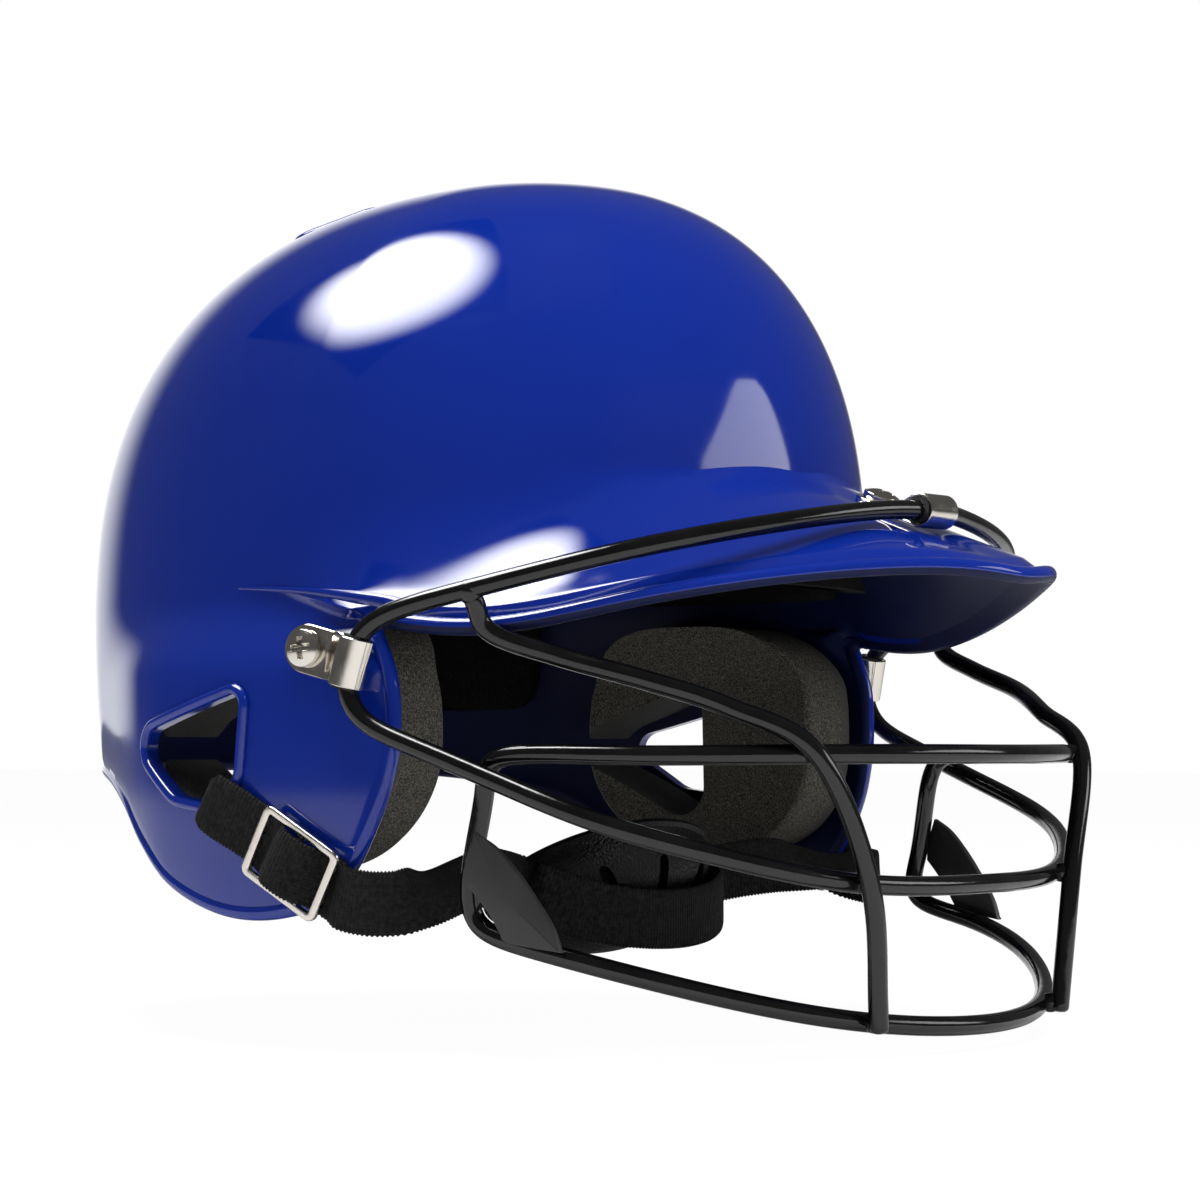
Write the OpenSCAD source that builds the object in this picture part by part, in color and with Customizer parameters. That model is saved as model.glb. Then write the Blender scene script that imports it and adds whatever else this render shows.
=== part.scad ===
/* [Shell] */
// Half width of the dome at its widest section
dome_half_w = 104; // [98:1:110]
// Reach of the dome ahead of the head's centre
dome_front = 89; // [84:1:94]
// Reach of the dome behind the head's centre
dome_back = 138; // [130:1:146]
// Height of the dome above its widest section
dome_h = 117; // [110:1:124]
// How far each ear flap stands out beyond the dome
flap_out = 11; // [8:0.5:12]
// Wall of the moulded shell
shell_wall = 3.2; // [2.6:0.1:4]
// Reach of the peak ahead of the head's centre
peak_reach = 160; // [154:1:166]
// Lowest edge of the ear flaps, below eye level
flap_drop = 43; // [40:1:46]
// Lowest edge at the nape, below eye level
nape_drop = 6; // [0:1:12]
// How far the rolled lip stands out of the wall on each side
lip_out = 0.6; // [0.3:0.1:1]
// Length of the opening of an ear hole
ear_hole_l = 30; // [27:1:33]
// Height of the opening of an ear hole
ear_hole_h = 28; // [25:1:31]
// Length of a vent slot in the crown
vent_l = 15; // [10:1:20]
// Width of a vent slot in the crown
vent_w = 6; // [4:0.5:8]

/* [Face guard] */
// Diameter of the coated wire
wire_d = 5; // [4.4:0.1:5.6]
// Reach of the middle bar ahead of the side clips
guard_reach = 111; // [106:1:116]
// Depth of the jaw bar below eye level
guard_drop = 70; // [66:1:74]
// Thickness of the jaw plates
plate_t = 2; // [1:0.25:3]

/* [Clips] */
// Width of the clip band
clip_w = 12.6; // [11:0.2:14]
// Thickness of the clip band
clip_t = 1; // [0.8:0.1:1.2]
// Wall of the black sleeve between wire and clip
sleeve_t = 1; // [0.6:0.1:1.2]
// Distance from the wire to the clip's screw
clip_reach = 15.8; // [15:0.2:17]
// Diameter of the clip screws
screw_d = 4.8; // [4:0.2:5.2]
// Diameter of a screw's head
head_d = 9.5; // [9:0.5:11]

/* [Lining] */
// Thickness of the forehead, side, back and crown pads
pad_t = 13; // [8:1:16]
// Thickness of each ear pad
ear_pad_t = 24; // [18:1:27]

/* [Chin strap] */
// Width of the webbing
web_w = 16; // [14:0.5:17]
// Thickness of the webbing
web_t = 1.6; // [1.2:0.1:2]
// Length of a three-bar slide along the webbing
slide_l = 26; // [24:0.5:30]
// Thickness of the wire that a three-bar slide is pressed from
slide_t = 1.8; // [1.4:0.1:2]
// Length of the chin cup from side to side
cup_l = 84; // [76:1:90]

/* [Hidden] */

// Running gap between parts that only touch
gap = 0.3;

function lerp(a, b, t) = a + (b - a) * t;
function ease(t) = let (c = max(0, min(1, t))) c * c * (3 - 2 * c);
function unit(v) = v / norm(v);
function mirrored(p) = [-p[0], p[1], p[2]];
function flip_x(points) = [for (p = points) mirrored(p)];

// Point at t on the smooth curve that the control points K pull; t counts spans from K[1]
function curve_at(K, t) =
    let (i = min(floor(t), len(K) - 4), u = t - i)
    (pow(1 - u, 3) * K[i] + (3 * pow(u, 3) - 6 * u * u + 4) * K[i + 1]
     + (-3 * pow(u, 3) + 3 * u * u + 3 * u + 1) * K[i + 2] + pow(u, 3) * K[i + 3]) / 6;

// Point at t on the curve that passes through the points K; t counts spans from K[1]
function through_at(K, t) =
    let (i = min(floor(t), len(K) - 4), u = t - i, a = K[i], b = K[i + 1], c = K[i + 2], d = K[i + 3])
    0.5 * (2 * b + (c - a) * u + (2 * a - 5 * b + 4 * c - d) * u * u + (3 * b - a - 3 * c + d) * pow(u, 3));
function with_ends(K) = concat([2 * K[0] - K[1]], K, [2 * K[len(K) - 1] - K[len(K) - 2]]);

// Value between lo and hi where the rising function f crosses zero
function solve(f, lo, hi, k = 24) =
    let (m = (lo + hi) / 2) k == 0 ? m : f(m) > 0 ? solve(f, lo, m, k - 1) : solve(f, m, hi, k - 1);

// Solid through a list of rings of equal count. The ends are capped on a middle point, or side to side where
// each ring is bent and its second half runs back beside its first, unless the rings close on themselves
function sum(v, i = 0) = i == len(v) - 1 ? v[i] : v[i] + sum(v, i + 1);
module loft(rings, closed = false, bent = false) {
    n = len(rings[0]);
    m = len(rings);
    last = closed ? m - 1 : m - 2;
    walls = [for (j = [0:last], i = [0:n - 1]) let (k = (i + 1) % n, a = j * n, b = (j + 1) % m * n)
        each [[a + i, b + i, b + k], [a + i, b + k, a + k]]];
    far = (m - 1) * n;
    caps = closed ? []
        : bent ? [for (i = [0:n / 2 - 2]) let (k = n - 1 - i)
            each [[i, i + 1, k], [i + 1, k - 1, k], [far + i + 1, far + i, far + k], [far + k - 1, far + i + 1, far + k]]]
        : [for (i = [0:n - 1]) let (k = (i + 1) % n) each [[m * n, i, k], [m * n + 1, far + k, far + i]]];
    points = concat([for (r = rings) each r], closed || bent ? [] : [sum(rings[0]) / n, sum(rings[m - 1]) / n]);
    polyhedron(points, concat(walls, caps), convexity = 10);
}

// Tube along a path, whose rings turn no more than the path does
function heading(path, i) = unit(path[min(i + 1, len(path) - 1)] - path[max(i - 1, 0)]);
function square_to(v, t) = unit(v - (v * t) * t);
module tube(path, r, sides = 8) {
    n = len(path);
    start = abs(heading(path, 0)[2]) > 0.9 ? [1, 0, 0] : [0, 0, 1];
    ups = [for (i = 0, v = square_to(start, heading(path, 0)); i < n;
                i = i + 1, v = square_to(v, heading(path, min(i, n - 1)))) v];
    loft([for (i = [0:n - 1])
        let (t = heading(path, i), x = ups[i], y = cross(t, x))
        [for (k = [0:sides - 1]) let (a = 360 * k / sides) path[i] + r * (cos(a) * x + sin(a) * y)]]);
}

// Flat strip along a path: wide along across(i), thick along its own normal, of half width w(i)
function strip_rings(path, across, t, w) =
    [for (i = [0:len(path) - 1])
        let (h = heading(path, i), a = square_to(across(i), h), n = cross(h, a), b = w(i), c = t / 2)
        [path[i] - b * a - c * n, path[i] + b * a - c * n, path[i] + b * a + c * n, path[i] - b * a + c * n]];

// Puts children at o with the given x axis and z axis
module placed(o, x, z) {
    y = cross(z, x);
    multmatrix([[x[0], y[0], z[0], o[0]], [x[1], y[1], z[1], o[1]], [x[2], y[2], z[2], o[2]], [0, 0, 0, 1]])
        children();
}
module on_left() mirror([1, 0, 0]) children();

// Centre of the head in plan, and height of the widest section of the dome
mid_y = 34;
waist_z = 40;
// Squareness of the head's plan ahead, at the flaps and behind, and of its side view
plan_n_front = 1.87;
plan_n_flap = 2.6;
plan_n_back = 2.07;
side_n = 2.44;
// Lean of the crown towards the forehead, and height over which the flaps swell out
crown_lean = -4.5;
swell_h = 22;

// Outline of the shell at height z, inset from the outer face
function rise(z, inset = 0) = max(0, (z - waist_z) / (dome_h - inset));
function shrink(z, inset = 0) = pow(max(0.0001, 1 - pow(rise(z, inset), side_n)), 1 / side_n);
function half_w(a, z, inset = 0) =
    z > waist_z ? (dome_half_w - inset) * shrink(z, inset)
    : dome_half_w - inset + flap_out * ease((waist_z - z) / swell_h) * (1 - ease((a - 108) / 34))
      - 3 * ease((-10 - z) / 40);
function reach_back(z, inset = 0) =
    z > waist_z ? (dome_back - inset) * shrink(z, inset) : dome_back - inset - 7 * pow((waist_z - z) / 55, 2);
function reach_front(z, inset = 0) = (dome_front - inset) * shrink(max(z, waist_z), inset);
function plan_n(a, z) = a > 90 ? plan_n_back : lerp(plan_n_flap, plan_n_front, ease((z - 15) / 50));

// Point on the right side of the head form; a is the angle round the head from the front
function head_at(a, z, inset = 0) =
    let (n = plan_n(a, z), b = a > 90 ? reach_back(z, inset) : reach_front(z, inset),
         r = pow(pow(sin(a) / half_w(a, z, inset), n) + pow(abs(cos(a)) / b, n), -1 / n))
    [-r * sin(a), mid_y + crown_lean * rise(z, inset) - r * cos(a), z];
function angle_of(p) = atan2(-p[0], mid_y - p[1]);

// Edge of the peak, from the front middle back to the temple: share of the dome's half width, share of the
// reach, height
peak_line = [[0, 1, 44], [0.212, 0.975, 47.5], [0.529, 0.825, 45.5], [0.856, 0.625, 38.5], [1.01, 0.388, 28.5],
             [1.087, 0.153, 37], [1.087, -0.06, 40.5]];
peak_spans = 4.6;
function peak_points(K) = [for (p = K) [-p[0] * dome_half_w, mid_y - p[1] * peak_reach, p[2]]];
peak_k = let (K = peak_points(peak_line)) concat([mirrored(K[1])], K);
function peak_edge(s) = curve_at(peak_k, s * peak_spans);
peak_end = peak_edge(1);
peak_end_a = angle_of(peak_end);

// Trim line behind the temple: angle of the ridge, angle of the rim, drop of the rim below eye level
// as a share of the flaps' drop, down to the nape
trim_line = [[peak_end_a, peak_end_a - 1, -(peak_end[2] - shell_wall) / flap_drop],
             [75, 69.6, -0.6], [78.5, 67.8, -0.3], [82, 67.2, -0.02], [85.5, 68, 0.24], [89, 70, 0.49],
             [92.5, 73, 0.72], [96, 78, 0.9], [100, 86, 0.985], [105, 94, 1], [110, 102, 0.94],
             [115.5, 109.5, 0.81], [121, 116.5, 0.6], [128, 124.5, 0.37], [139, 138, 0.22],
             [152, 151.5, 0.16], [166, 166, nape_drop / flap_drop], [180, 180, nape_drop / flap_drop]];
trim_k = concat([2 * trim_line[0] - trim_line[1]], trim_line, [[194, 194, nape_drop / flap_drop]]);
trim_spans = len(trim_line) - 1;

// Columns of the shell's grid from the front middle to the nape. Each holds: angle and height of the
// edge, its stand-out from the head form, angle and height of the rim, its stand-out, and the share
// of the column that belongs to the peak
peak_cols = 12;
side_cols = 22;
ridge_z = 41;
function peak_column(s) =
    let (e = peak_edge(s), a = angle_of(e), r = e + [0, 0.8, -shell_wall])
    [a, e[2], e - head_at(a, e[2]), a, r[2], r - head_at(a, r[2]), 1];
last_peak = peak_column(1);
function side_column(s) =
    let (t = s * trim_spans, k = through_at(trim_k, t), fade = 1 - ease((k[0] - peak_end_a) / 24),
         z = lerp(ridge_z, peak_end[2], fade), near = 1 - ease(t / 1.6))
    [k[0], z, last_peak[2] * fade, k[1], -flap_drop * k[2], last_peak[5] * near, near];
columns = concat([for (i = [0:peak_cols - 1]) peak_column(i / peak_cols)],
                 [for (i = [0:side_cols]) side_column(i / side_cols)]);

// Height at which the flare to the peak leaves the dome
function flare_z(c) = lerp(66, 94, pow(max(0, cos(min(c[0], 90))), 0.8));
// Stand-out at v: none down to where the fillet under the brow starts, then a power of the rest
function stood_out(c, v) =
    let (from = lerp(0.43, 0, ease((c[0] - 20) / 60)), p = lerp(1.13, 3.2, ease((c[0] - 15) / 75)))
    pow(max(0, (v - from) / (1 - from)), p) * c[2];
// Outer face, from the flare (v = 0) to the edge (v = 1), then from the edge to the rim
function flare_at(c, v) = head_at(c[0], lerp(flare_z(c), c[1], v)) + stood_out(c, v);
function skirt_at(c, v) =
    head_at(lerp(c[0], c[3], v), lerp(c[1], c[4], v)) + c[5] + pow(1 - v, lerp(12, 1, c[6])) * (c[2] - c[5]);
// Inner face of the same stretches, one wall inside
function in_flare_at(c, v) =
    head_at(c[0], lerp(flare_z(c), c[1], v) - shell_wall * v * c[6], shell_wall * (1 - 0.7 * v * c[6]))
    + stood_out(c, v);
function in_skirt_at(c, v) =
    let (side = head_at(lerp(c[0], c[3], v), lerp(c[1], c[4], v), shell_wall)
                + c[5] * (1 - c[6]) + pow(1 - v, 12) * c[2] * (1 - c[6]))
    lerp(side, in_flare_at(c, lerp(0.9, 0.95, v)), c[6]);
// Dome above the flare, by share of the way down from the crown
function dome_z(c, w, inset) =
    let (top = dome_h - inset, low = asin(pow((flare_z(c) - waist_z) / top, side_n / 2)))
    waist_z + top * pow(sin(lerp(90, low, w)), 2 / side_n);
function dome_at(c, w, inset = 0) = head_at(c[0], dome_z(c, w, inset), inset);

// Rolled lip round the whole lower edge: middle of the edge and its direction out of the wall
function rim_of(c) =
    let (e = skirt_at(c, 0), r = skirt_at(c, 1), inner = in_skirt_at(c, 1))
    [lerp(r + inner, e + r, c[6]) / 2, unit(lerp(unit(r - inner), unit(e - r), c[6]))];
function around(points) = concat(points, flip_x([for (i = [len(points) - 2:-1:1]) points[i]]));
rims = [for (c = columns) rim_of(c)];
rim_points = around([for (r = rims) r[0]]);
lip_r = shell_wall / 2 + lip_out;
lip_start = -40;
// Point of the lip at column i; turn 0 faces out, 90 down and 180 into the helmet
function lip_at(i, turn) =
    let (n = len(rim_points), t = unit(rim_points[(i + 1) % n] - rim_points[(i + n - 1) % n]),
         x = square_to(rims[i][1], t), y = cross(t, x))
    rim_points[i] + y * shell_wall / 2 + lip_r * (cos(turn) * x - sin(turn) * y);
// Wall between the edge and the lip, outside and inside, by share of its height
function above_lip(c) = 1 - 1.1 * lip_r / max(8, norm(skirt_at(c, 0) - skirt_at(c, 1)));
function outer_at(i, v) =
    let (c = columns[i])
    lerp(skirt_at(c, above_lip(c) * pow(v, 1.7)), lerp(flare_at(c, 0.93), lip_at(i, lip_start), v), c[6]);
function inner_at(i, v) = let (c = columns[i]) in_skirt_at(c, above_lip(c) * v);

dome_rows = 8;
flare_rows = 6;
skirt_rows = 6;
inner_rows = 5;
inner_dome_rows = 8;
last_column = len(columns) - 1;
shell_rings = concat(
    [for (j = [0:dome_rows - 1]) around([for (c = columns) dome_at(c, (j + 0.3) / dome_rows)])],
    [for (j = [0:flare_rows - 1]) around([for (c = columns) flare_at(c, j / flare_rows)])],
    [for (j = [0:skirt_rows - 1]) around([for (i = [0:last_column]) outer_at(i, j / skirt_rows)])],
    [for (turn = [lip_start, 0, 45, 90, 135, 180, 180 - lip_start])
        around([for (i = [0:last_column]) lip_at(i, turn)])],
    [for (j = [inner_rows - 1:-1:0]) around([for (i = [0:last_column]) inner_at(i, j / inner_rows)])],
    [for (j = [inner_rows - 1:-1:0])
        around([for (c = columns) in_flare_at(c, j / inner_rows * lerp(1, 0.87, c[6]))])],
    [for (j = [inner_dome_rows - 1:-1:0])
        around([for (c = columns) dome_at(c, (j + 0.3) / inner_dome_rows, shell_wall)])]);

// Distance of the outer face from the middle plane, beside the head
function side_x(y, z, inset = 0) =
    let (dy = y - mid_y - crown_lean * rise(z, inset), b = dy > 0 ? reach_back(z, inset) : reach_front(z, inset),
         n = plan_n(dy > 0 ? 100 : 80, z), a = atan2(dome_half_w, -dy))
    half_w(a, z, inset) * pow(1 - pow(abs(dy) / b, n), 1 / n);

// Ear hole: circles at its corners, as places across its length and height, and their radii
ear_mid = [59.5, -1];
ear_lip = 3;
ear_corners = let (l = ear_hole_l / 2, h = ear_hole_h / 2)
    [[l - 2.5, 1.5, 2.5], [2 - l, h - 2, 2], [2.5 - l, -2.5, 2], [3.5 - l / 3 - 5.5, 3.5 - h, 3.5]];
module ear_outline(grow) {
    hull()
        for (c = ear_corners)
            translate([ear_mid[0] + c[0], ear_mid[1] + c[1]]) circle(r = c[2] + grow, $fn = 24);
}
// Prism through both flaps along X, from from_x to to_x on each side
module ear_prism(grow, from_x, to_x) {
    for (s = [0, 1])
        mirror([s, 0, 0])
            translate([-to_x, 0, 0])
                rotate([90, 0, 90])
                    linear_extrude(to_x - from_x) ear_outline(grow);
}

// Vent slots in the crown, fanned out behind its middle, each with a raised lip
vent_turns = [-36, -18, 0, 18, 36];
vent_from = 49;
vent_lip = 1.8;
vent_rise = 0.8;
function plan_of(p) = norm([p[0], p[1] - mid_y]);
function vent_point(a, r) = head_at(a, solve(function(z) r - plan_of(head_at(a, z)), waist_z, waist_z + dome_h));
module vent_slot(turn, r, inward, outward) {
    a = vent_point(180 - abs(turn), vent_from);
    b = vent_point(180 - abs(turn), vent_from + vent_l);
    round = cross([0, 0, 1], b - a);
    z = unit(cross(b - a, round));
    mirror([turn < 0 ? 1 : 0, 0, 0])
        hull()
            for (p = [a, b])
                placed(p, square_to(round, z), z)
                    translate([0, 0, -inward]) cylinder(r = r, h = inward + outward, $fn = 14);
}

// Raised lip of an ear hole, on the outer face of the flap: short stretches between round ends
ear_lip_points = let (n = len(ear_corners)) [for (i = [0:n - 1], t = [0:2])
    let (a = ear_corners[i], b = ear_corners[(i + 1) % n], f = t / 3, g = lerp(a[2], b[2], f) + ear_lip / 2,
         along = unit([b[0] - a[0], b[1] - a[1]]))
    [ear_mid[0] + lerp(a[0], b[0], f) - along[1] * g, ear_mid[1] + lerp(a[1], b[1], f) + along[0] * g]];

module shell() {
    color("royalblue")
        difference() {
            union() {
                loft(shell_rings);
                for (t = vent_turns) vent_slot(t, vent_w / 2 + vent_lip, shell_wall / 2, vent_rise);
                for (s = [0, 1], i = [0:len(ear_lip_points) - 1])
                    mirror([s, 0, 0])
                        hull()
                            for (p = [ear_lip_points[i], ear_lip_points[(i + 1) % len(ear_lip_points)]])
                                translate([-side_x(p[0], p[1]) - lip_out / 2, p[0], p[1]])
                                    sphere(r = ear_lip / 2, $fn = 6);
            }
            ear_prism(0, guard_w - 30, guard_w + 15);
            for (t = vent_turns) vent_slot(t, vent_w / 2, shell_wall * 2, 5);
            at_clips() translate([0, clip_reach, -ring_r - gap - shell_wall - 6])
                cylinder(d = screw_d + 0.4, h = shell_wall + 8, $fn = 24);
        }
}

// Face guard: smooth routes of its two bent loops, right half, in shares of the guard's half width,
// its reach and its drop. The upper loop's first points are measured from the front clip's wire and
// the next ones from the side clip's wire
wire_r = wire_d / 2;
ring_r = wire_r + sleeve_t + clip_t;
stand = ring_r + gap;

// Where the clips sit: the foot under the wire and the screw's place on the shell
side_foot_yz = [0.75, 21];
function on_side(y, z) = [-side_x(y, z), y, z];
function on_flap(y, z) =
    let (at = function(s) let (c = side_column(s)) skirt_at(c, max(0, min(1, (c[1] - z) / (c[1] - c[4])))))
    at(solve(function(s) at(s)[1] - y, 0, 0.5));
side_foot = on_flap(side_foot_yz[0], side_foot_yz[1]);
side_ahead = on_flap(side_foot_yz[0] + clip_reach, side_foot_yz[1] + clip_reach * 0.13);
side_run = unit([(side_ahead[0] - side_foot[0]) / clip_reach, 1, 0.26]);
side_tilt = 5;
side_lift = 1.4;
side_out = let (o = square_to([-1, 0, 0], side_run)) cos(side_tilt) * o + sin(side_tilt) * cross(side_run, o);
side_wire = side_foot + side_out * (stand + side_lift);
front_share = 0.8;
function on_peak(y) = flare_at(columns[0], solve(function(v) y - flare_at(columns[0], v)[1], 0, 1));
front_foot = on_peak(mid_y - peak_reach * front_share);
front_run = unit(on_peak(front_foot[1] + clip_reach) - front_foot);
front_out = cross(front_run, [-1, 0, 0]);
front_lift = 0.4;
front_wire = front_foot + front_out * (stand + front_lift);

guard_w = -side_wire[0];
function guard_at(s) = [-s[0] * guard_w, s[1] * guard_reach, s[2] * guard_drop];
upper_k = concat(
    [for (p = [[0, -1.8, -0.2], [-14, 2.7, 0.3], [-50, 7.2, -4.2]]) front_wire + p],
    [for (p = [[26.8, -65.8, 27.5], [5.3, -31.8, 17], [0.6, -5.7, 12], [0, 2.3, 0.5], [-0.7, 0.1, -14],
               [3.3, -17.2, -20.5]]) side_wire + p],
    [for (s = [[0.925, -0.374, -0.121], [0.895, -0.604, -0.257], [0.72, -0.784, -0.364],
               [0.413, -0.955, -0.493], [0, -1.022, -0.486], [-0.413, -0.955, -0.493]]) guard_at(s)]);
upper = concat([mirrored(upper_k[1])], upper_k);
upper_clip = 6;
upper_end = 13;
lower_k = [for (s = [[0, -1.126, -0.021], [0.507, -0.959, -0.014], [0.823, -0.581, -0.029], [0.899, -0.297, 0],
                     [0.861, -0.279, -0.129], [0.887, -0.243, -0.443], [0.848, -0.216, -0.636],
                     [0.87, -0.392, -0.686], [0.759, -0.658, -0.8], [0.43, -0.923, -0.964],
                     [0, -1.058, -1.007], [-0.43, -0.923, -0.964]]) guard_at(s)];
lower = concat([mirrored(lower_k[1])], lower_k);
lower_corner = 3.6;
lower_end = 10;

// Both halves of a stretch of a loop, from t0 to t1 on the right, with step between rings
function stretch(K, t0, t1, n) = [for (i = [0:n]) curve_at(K, lerp(t0, t1, i / n))];
function both(points) = concat(flip_x([for (i = [len(points) - 1:-1:1]) points[i]]), points);
// A place on a loop by its share of the half width, between t0 and t1
function bar_at(K, share, t0, t1) =
    let (t = solve(function(t) -curve_at(K, t)[0] - share * guard_w, t0, t1),
         run = curve_at(K, t + 0.01) - curve_at(K, t - 0.01))
    [curve_at(K, t), unit(cross(run, [0, 0, 1]))];

module guard_wire(path) { color([0.05, 0.05, 0.055]) tube(path, wire_r); }
module guard_top_wire() { guard_wire(both(stretch(upper, 0, upper_clip - 0.03, 24))); }
module guard_middle_bar() {
    run = stretch(upper, upper_clip + 0.03, upper_end, 24);
    guard_wire(concat(run, flip_x([for (i = [len(run) - 2:-1:0]) run[i]])));
}
module guard_nose_bar() { guard_wire(both(stretch(lower, 0, lower_corner - 0.04, 22))); }
module guard_jaw_bar() {
    run = stretch(lower, lower_corner + 0.04, lower_end, 30);
    guard_wire(concat(run, flip_x([for (i = [len(run) - 2:-1:0]) run[i]])));
}

// Upright: from a weld under the top wire, forward over the nose, middle and jaw bars
weld_gap = 0.15;
upright_top = curve_at(upper, 4.05);
function over(c) = c[0] + (wire_d + weld_gap) * c[1];
upright_points = let (bend = [for (s = [[0.891, -0.311, 0.407], [0.827, -0.45, 0.321], [0.746, -0.626, 0.236],
                                        [0.639, -0.766, 0.143]]) guard_at(s)],
                      nose = over(bar_at(lower, 0.52, 0, 2)), middle = over(bar_at(upper, 0.405, 13, 10)),
                      jaw = over(bar_at(lower, 0.358, 10, 7)))
    concat([upright_top + unit(bend[0] - upright_top) * (wire_r + 2 * weld_gap)], bend, [nose, middle, jaw]);
module guard_upright() {
    K = with_ends(upright_points);
    run = [for (i = [0:24]) through_at(K, i / 24 * (len(upright_points) - 1))];
    guard_wire(concat(run, [run[24] + unit(run[24] - run[23]) * wire_r]));
}
module guard_upright_right() { guard_upright(); }
module guard_upright_left() { on_left() guard_upright(); }

// Jaw plate: a leaf on the outside of the corner where the jaw bar turns forward, from its tip up the
// short upright run to its heel on the level run; places are [forward, up] of the corner
plate_corner = guard_at([0.88, -0.225, -0.679]);
plate_turn = 9.5;
plate_leaf = [[6, 27], [12, 23.5], [18.5, 17], [24, 10], [28, 4], [30, -1.5], [15.5, 0.5], [13, 3],
              [10, 7.5], [6, 12], [3, 15], [3.5, 20.5]];
module jaw_plate() {
    color([0.09, 0.09, 0.1])
        translate([plate_corner[0] - wire_r - weld_gap, plate_corner[1], plate_corner[2]])
            rotate([0, 0, plate_turn - 180])
                rotate([90, 0, 90])
                    linear_extrude(plate_t) polygon(plate_leaf);
}
module jaw_plate_right() { jaw_plate(); }
module jaw_plate_left() { on_left() jaw_plate(); }

// Loop clip: the band runs round the wire, and both its ends lie under the screw
tab_out = clip_w / 2;
function tangent_turn(p) = atan2(p[1], p[0]) + acos(ring_r / norm(p));
module clip() {
    crease = [clip_reach * 0.5, -ring_r + 2 * clip_t];
    turn = tangent_turn(crease);
    leave = [cos(turn), sin(turn)];
    back = [cos(turn + 12), sin(turn + 12)];
    color([0.78, 0.76, 0.72])
        difference() {
            intersection() {
                translate([clip_w / 2, 0, 0])
                    rotate([90, 0, -90])
                        linear_extrude(clip_w)
                            difference() {
                                union() {
                                    circle(r = ring_r, $fn = 48);
                                    translate([-clip_reach - tab_out, -ring_r])
                                        square([clip_reach + tab_out, clip_t]);
                                    polygon([for (p = [crease, crease - leave * clip_t, leave * (ring_r - clip_t * 0.8),
                                                       back * (ring_r - clip_t * 0.2)]) [-p[0], p[1]]]);
                                    translate([-clip_reach - tab_out, -ring_r + clip_t / 2])
                                        square([clip_reach + tab_out - crease[0] + 0.8, clip_t * 1.5]);
                                }
                                circle(r = ring_r - clip_t, $fn = 48);
                            }
                translate([0, 0, -ring_r - 1])
                    linear_extrude(2 * ring_r + 2) {
                        translate([-clip_w / 2, -ring_r - 1]) square([clip_w, clip_reach + ring_r + 1]);
                        translate([0, clip_reach]) circle(r = tab_out, $fn = 48);
                    }
            }
            translate([0, clip_reach, -ring_r - 1]) cylinder(d = screw_d + 0.4, h = 4 * clip_t, $fn = 32);
        }
}
// Machine screw, from its head on the clip's tab down through the shell to its nut
nut_t = 3.2;
nut_w = 9.2;
side_sag = 3.1;
head_t = 3;
screw_len = 2 * clip_t + gap + shell_wall + gap + nut_t + 1.6;
module screw(lift) {
    recess = head_d * 0.55;
    color([0.8, 0.8, 0.8])
        translate([0, clip_reach, -ring_r + 2 * clip_t])
            difference() {
                union() {
                    intersection() {
                        translate([0, 0, 0.02]) cylinder(d = head_d, h = head_t, $fn = 48);
                        translate([0, 0, head_t - head_d]) sphere(r = head_d, $fn = 64);
                    }
                    translate([0, 0, -screw_len - lift])
                        cylinder(d = screw_d, h = screw_len + lift + 1, $fn = 32);
                }
                for (a = [0, 90])
                    rotate([0, 0, a + 20])
                        translate([-recess / 2, -0.6, head_t / 2]) cube([recess, 1.2, head_t]);
            }
}
module nut(lift) {
    color([0.6, 0.6, 0.6])
        translate([0, clip_reach, -ring_r - 3 * gap - shell_wall - nut_t - lift])
            difference() {
                cylinder(d = nut_w, h = nut_t, $fn = 6);
                translate([0, 0, -1]) cylinder(d = screw_d + 0.1, h = nut_t + 2, $fn = 32);
            }
}
module at_side() { placed(side_wire, cross(side_run, side_out), side_out) children(); }
module at_front() { placed(front_wire, [1, 0, 0], front_out) children(); }
module at_clips() {
    at_front() children();
    at_side() children();
    on_left() at_side() children();
}
module clip_front() { at_front() clip(); }
module clip_right() { at_side() clip(); }
module clip_left() { on_left() at_side() clip(); }
module clip_screws() {
    at_front() screw(front_lift);
    at_side() screw(side_lift);
    on_left() at_side() screw(side_lift);
}
module clip_nuts() {
    at_front() nut(front_lift);
    at_side() nut(side_lift + side_sag);
    on_left() at_side() nut(side_lift + side_sag);
}

// Black sleeve between a clip's band and the wire bent inside it
sleeve_w = clip_w + 1;
module sleeve(path) {
    color([0.12, 0.12, 0.12])
        difference() {
            children();
            tube(path, wire_r + 0.15, 12);
        }
}
module sleeve_solid() {
    translate([-sleeve_w / 2, 0, 0])
        rotate([0, 90, 0]) cylinder(r = ring_r - clip_t - 0.05, h = sleeve_w, $fn = 32);
}
module sleeve_side() { sleeve(stretch(upper, upper_clip - 1.5, upper_clip + 1.5, 16)) at_side() sleeve_solid(); }
module sleeve_front() { sleeve(both(stretch(upper, 0, 1, 6))) at_front() sleeve_solid(); }
module sleeve_right() { sleeve_side(); }
module sleeve_left() { on_left() sleeve_side(); }

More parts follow.
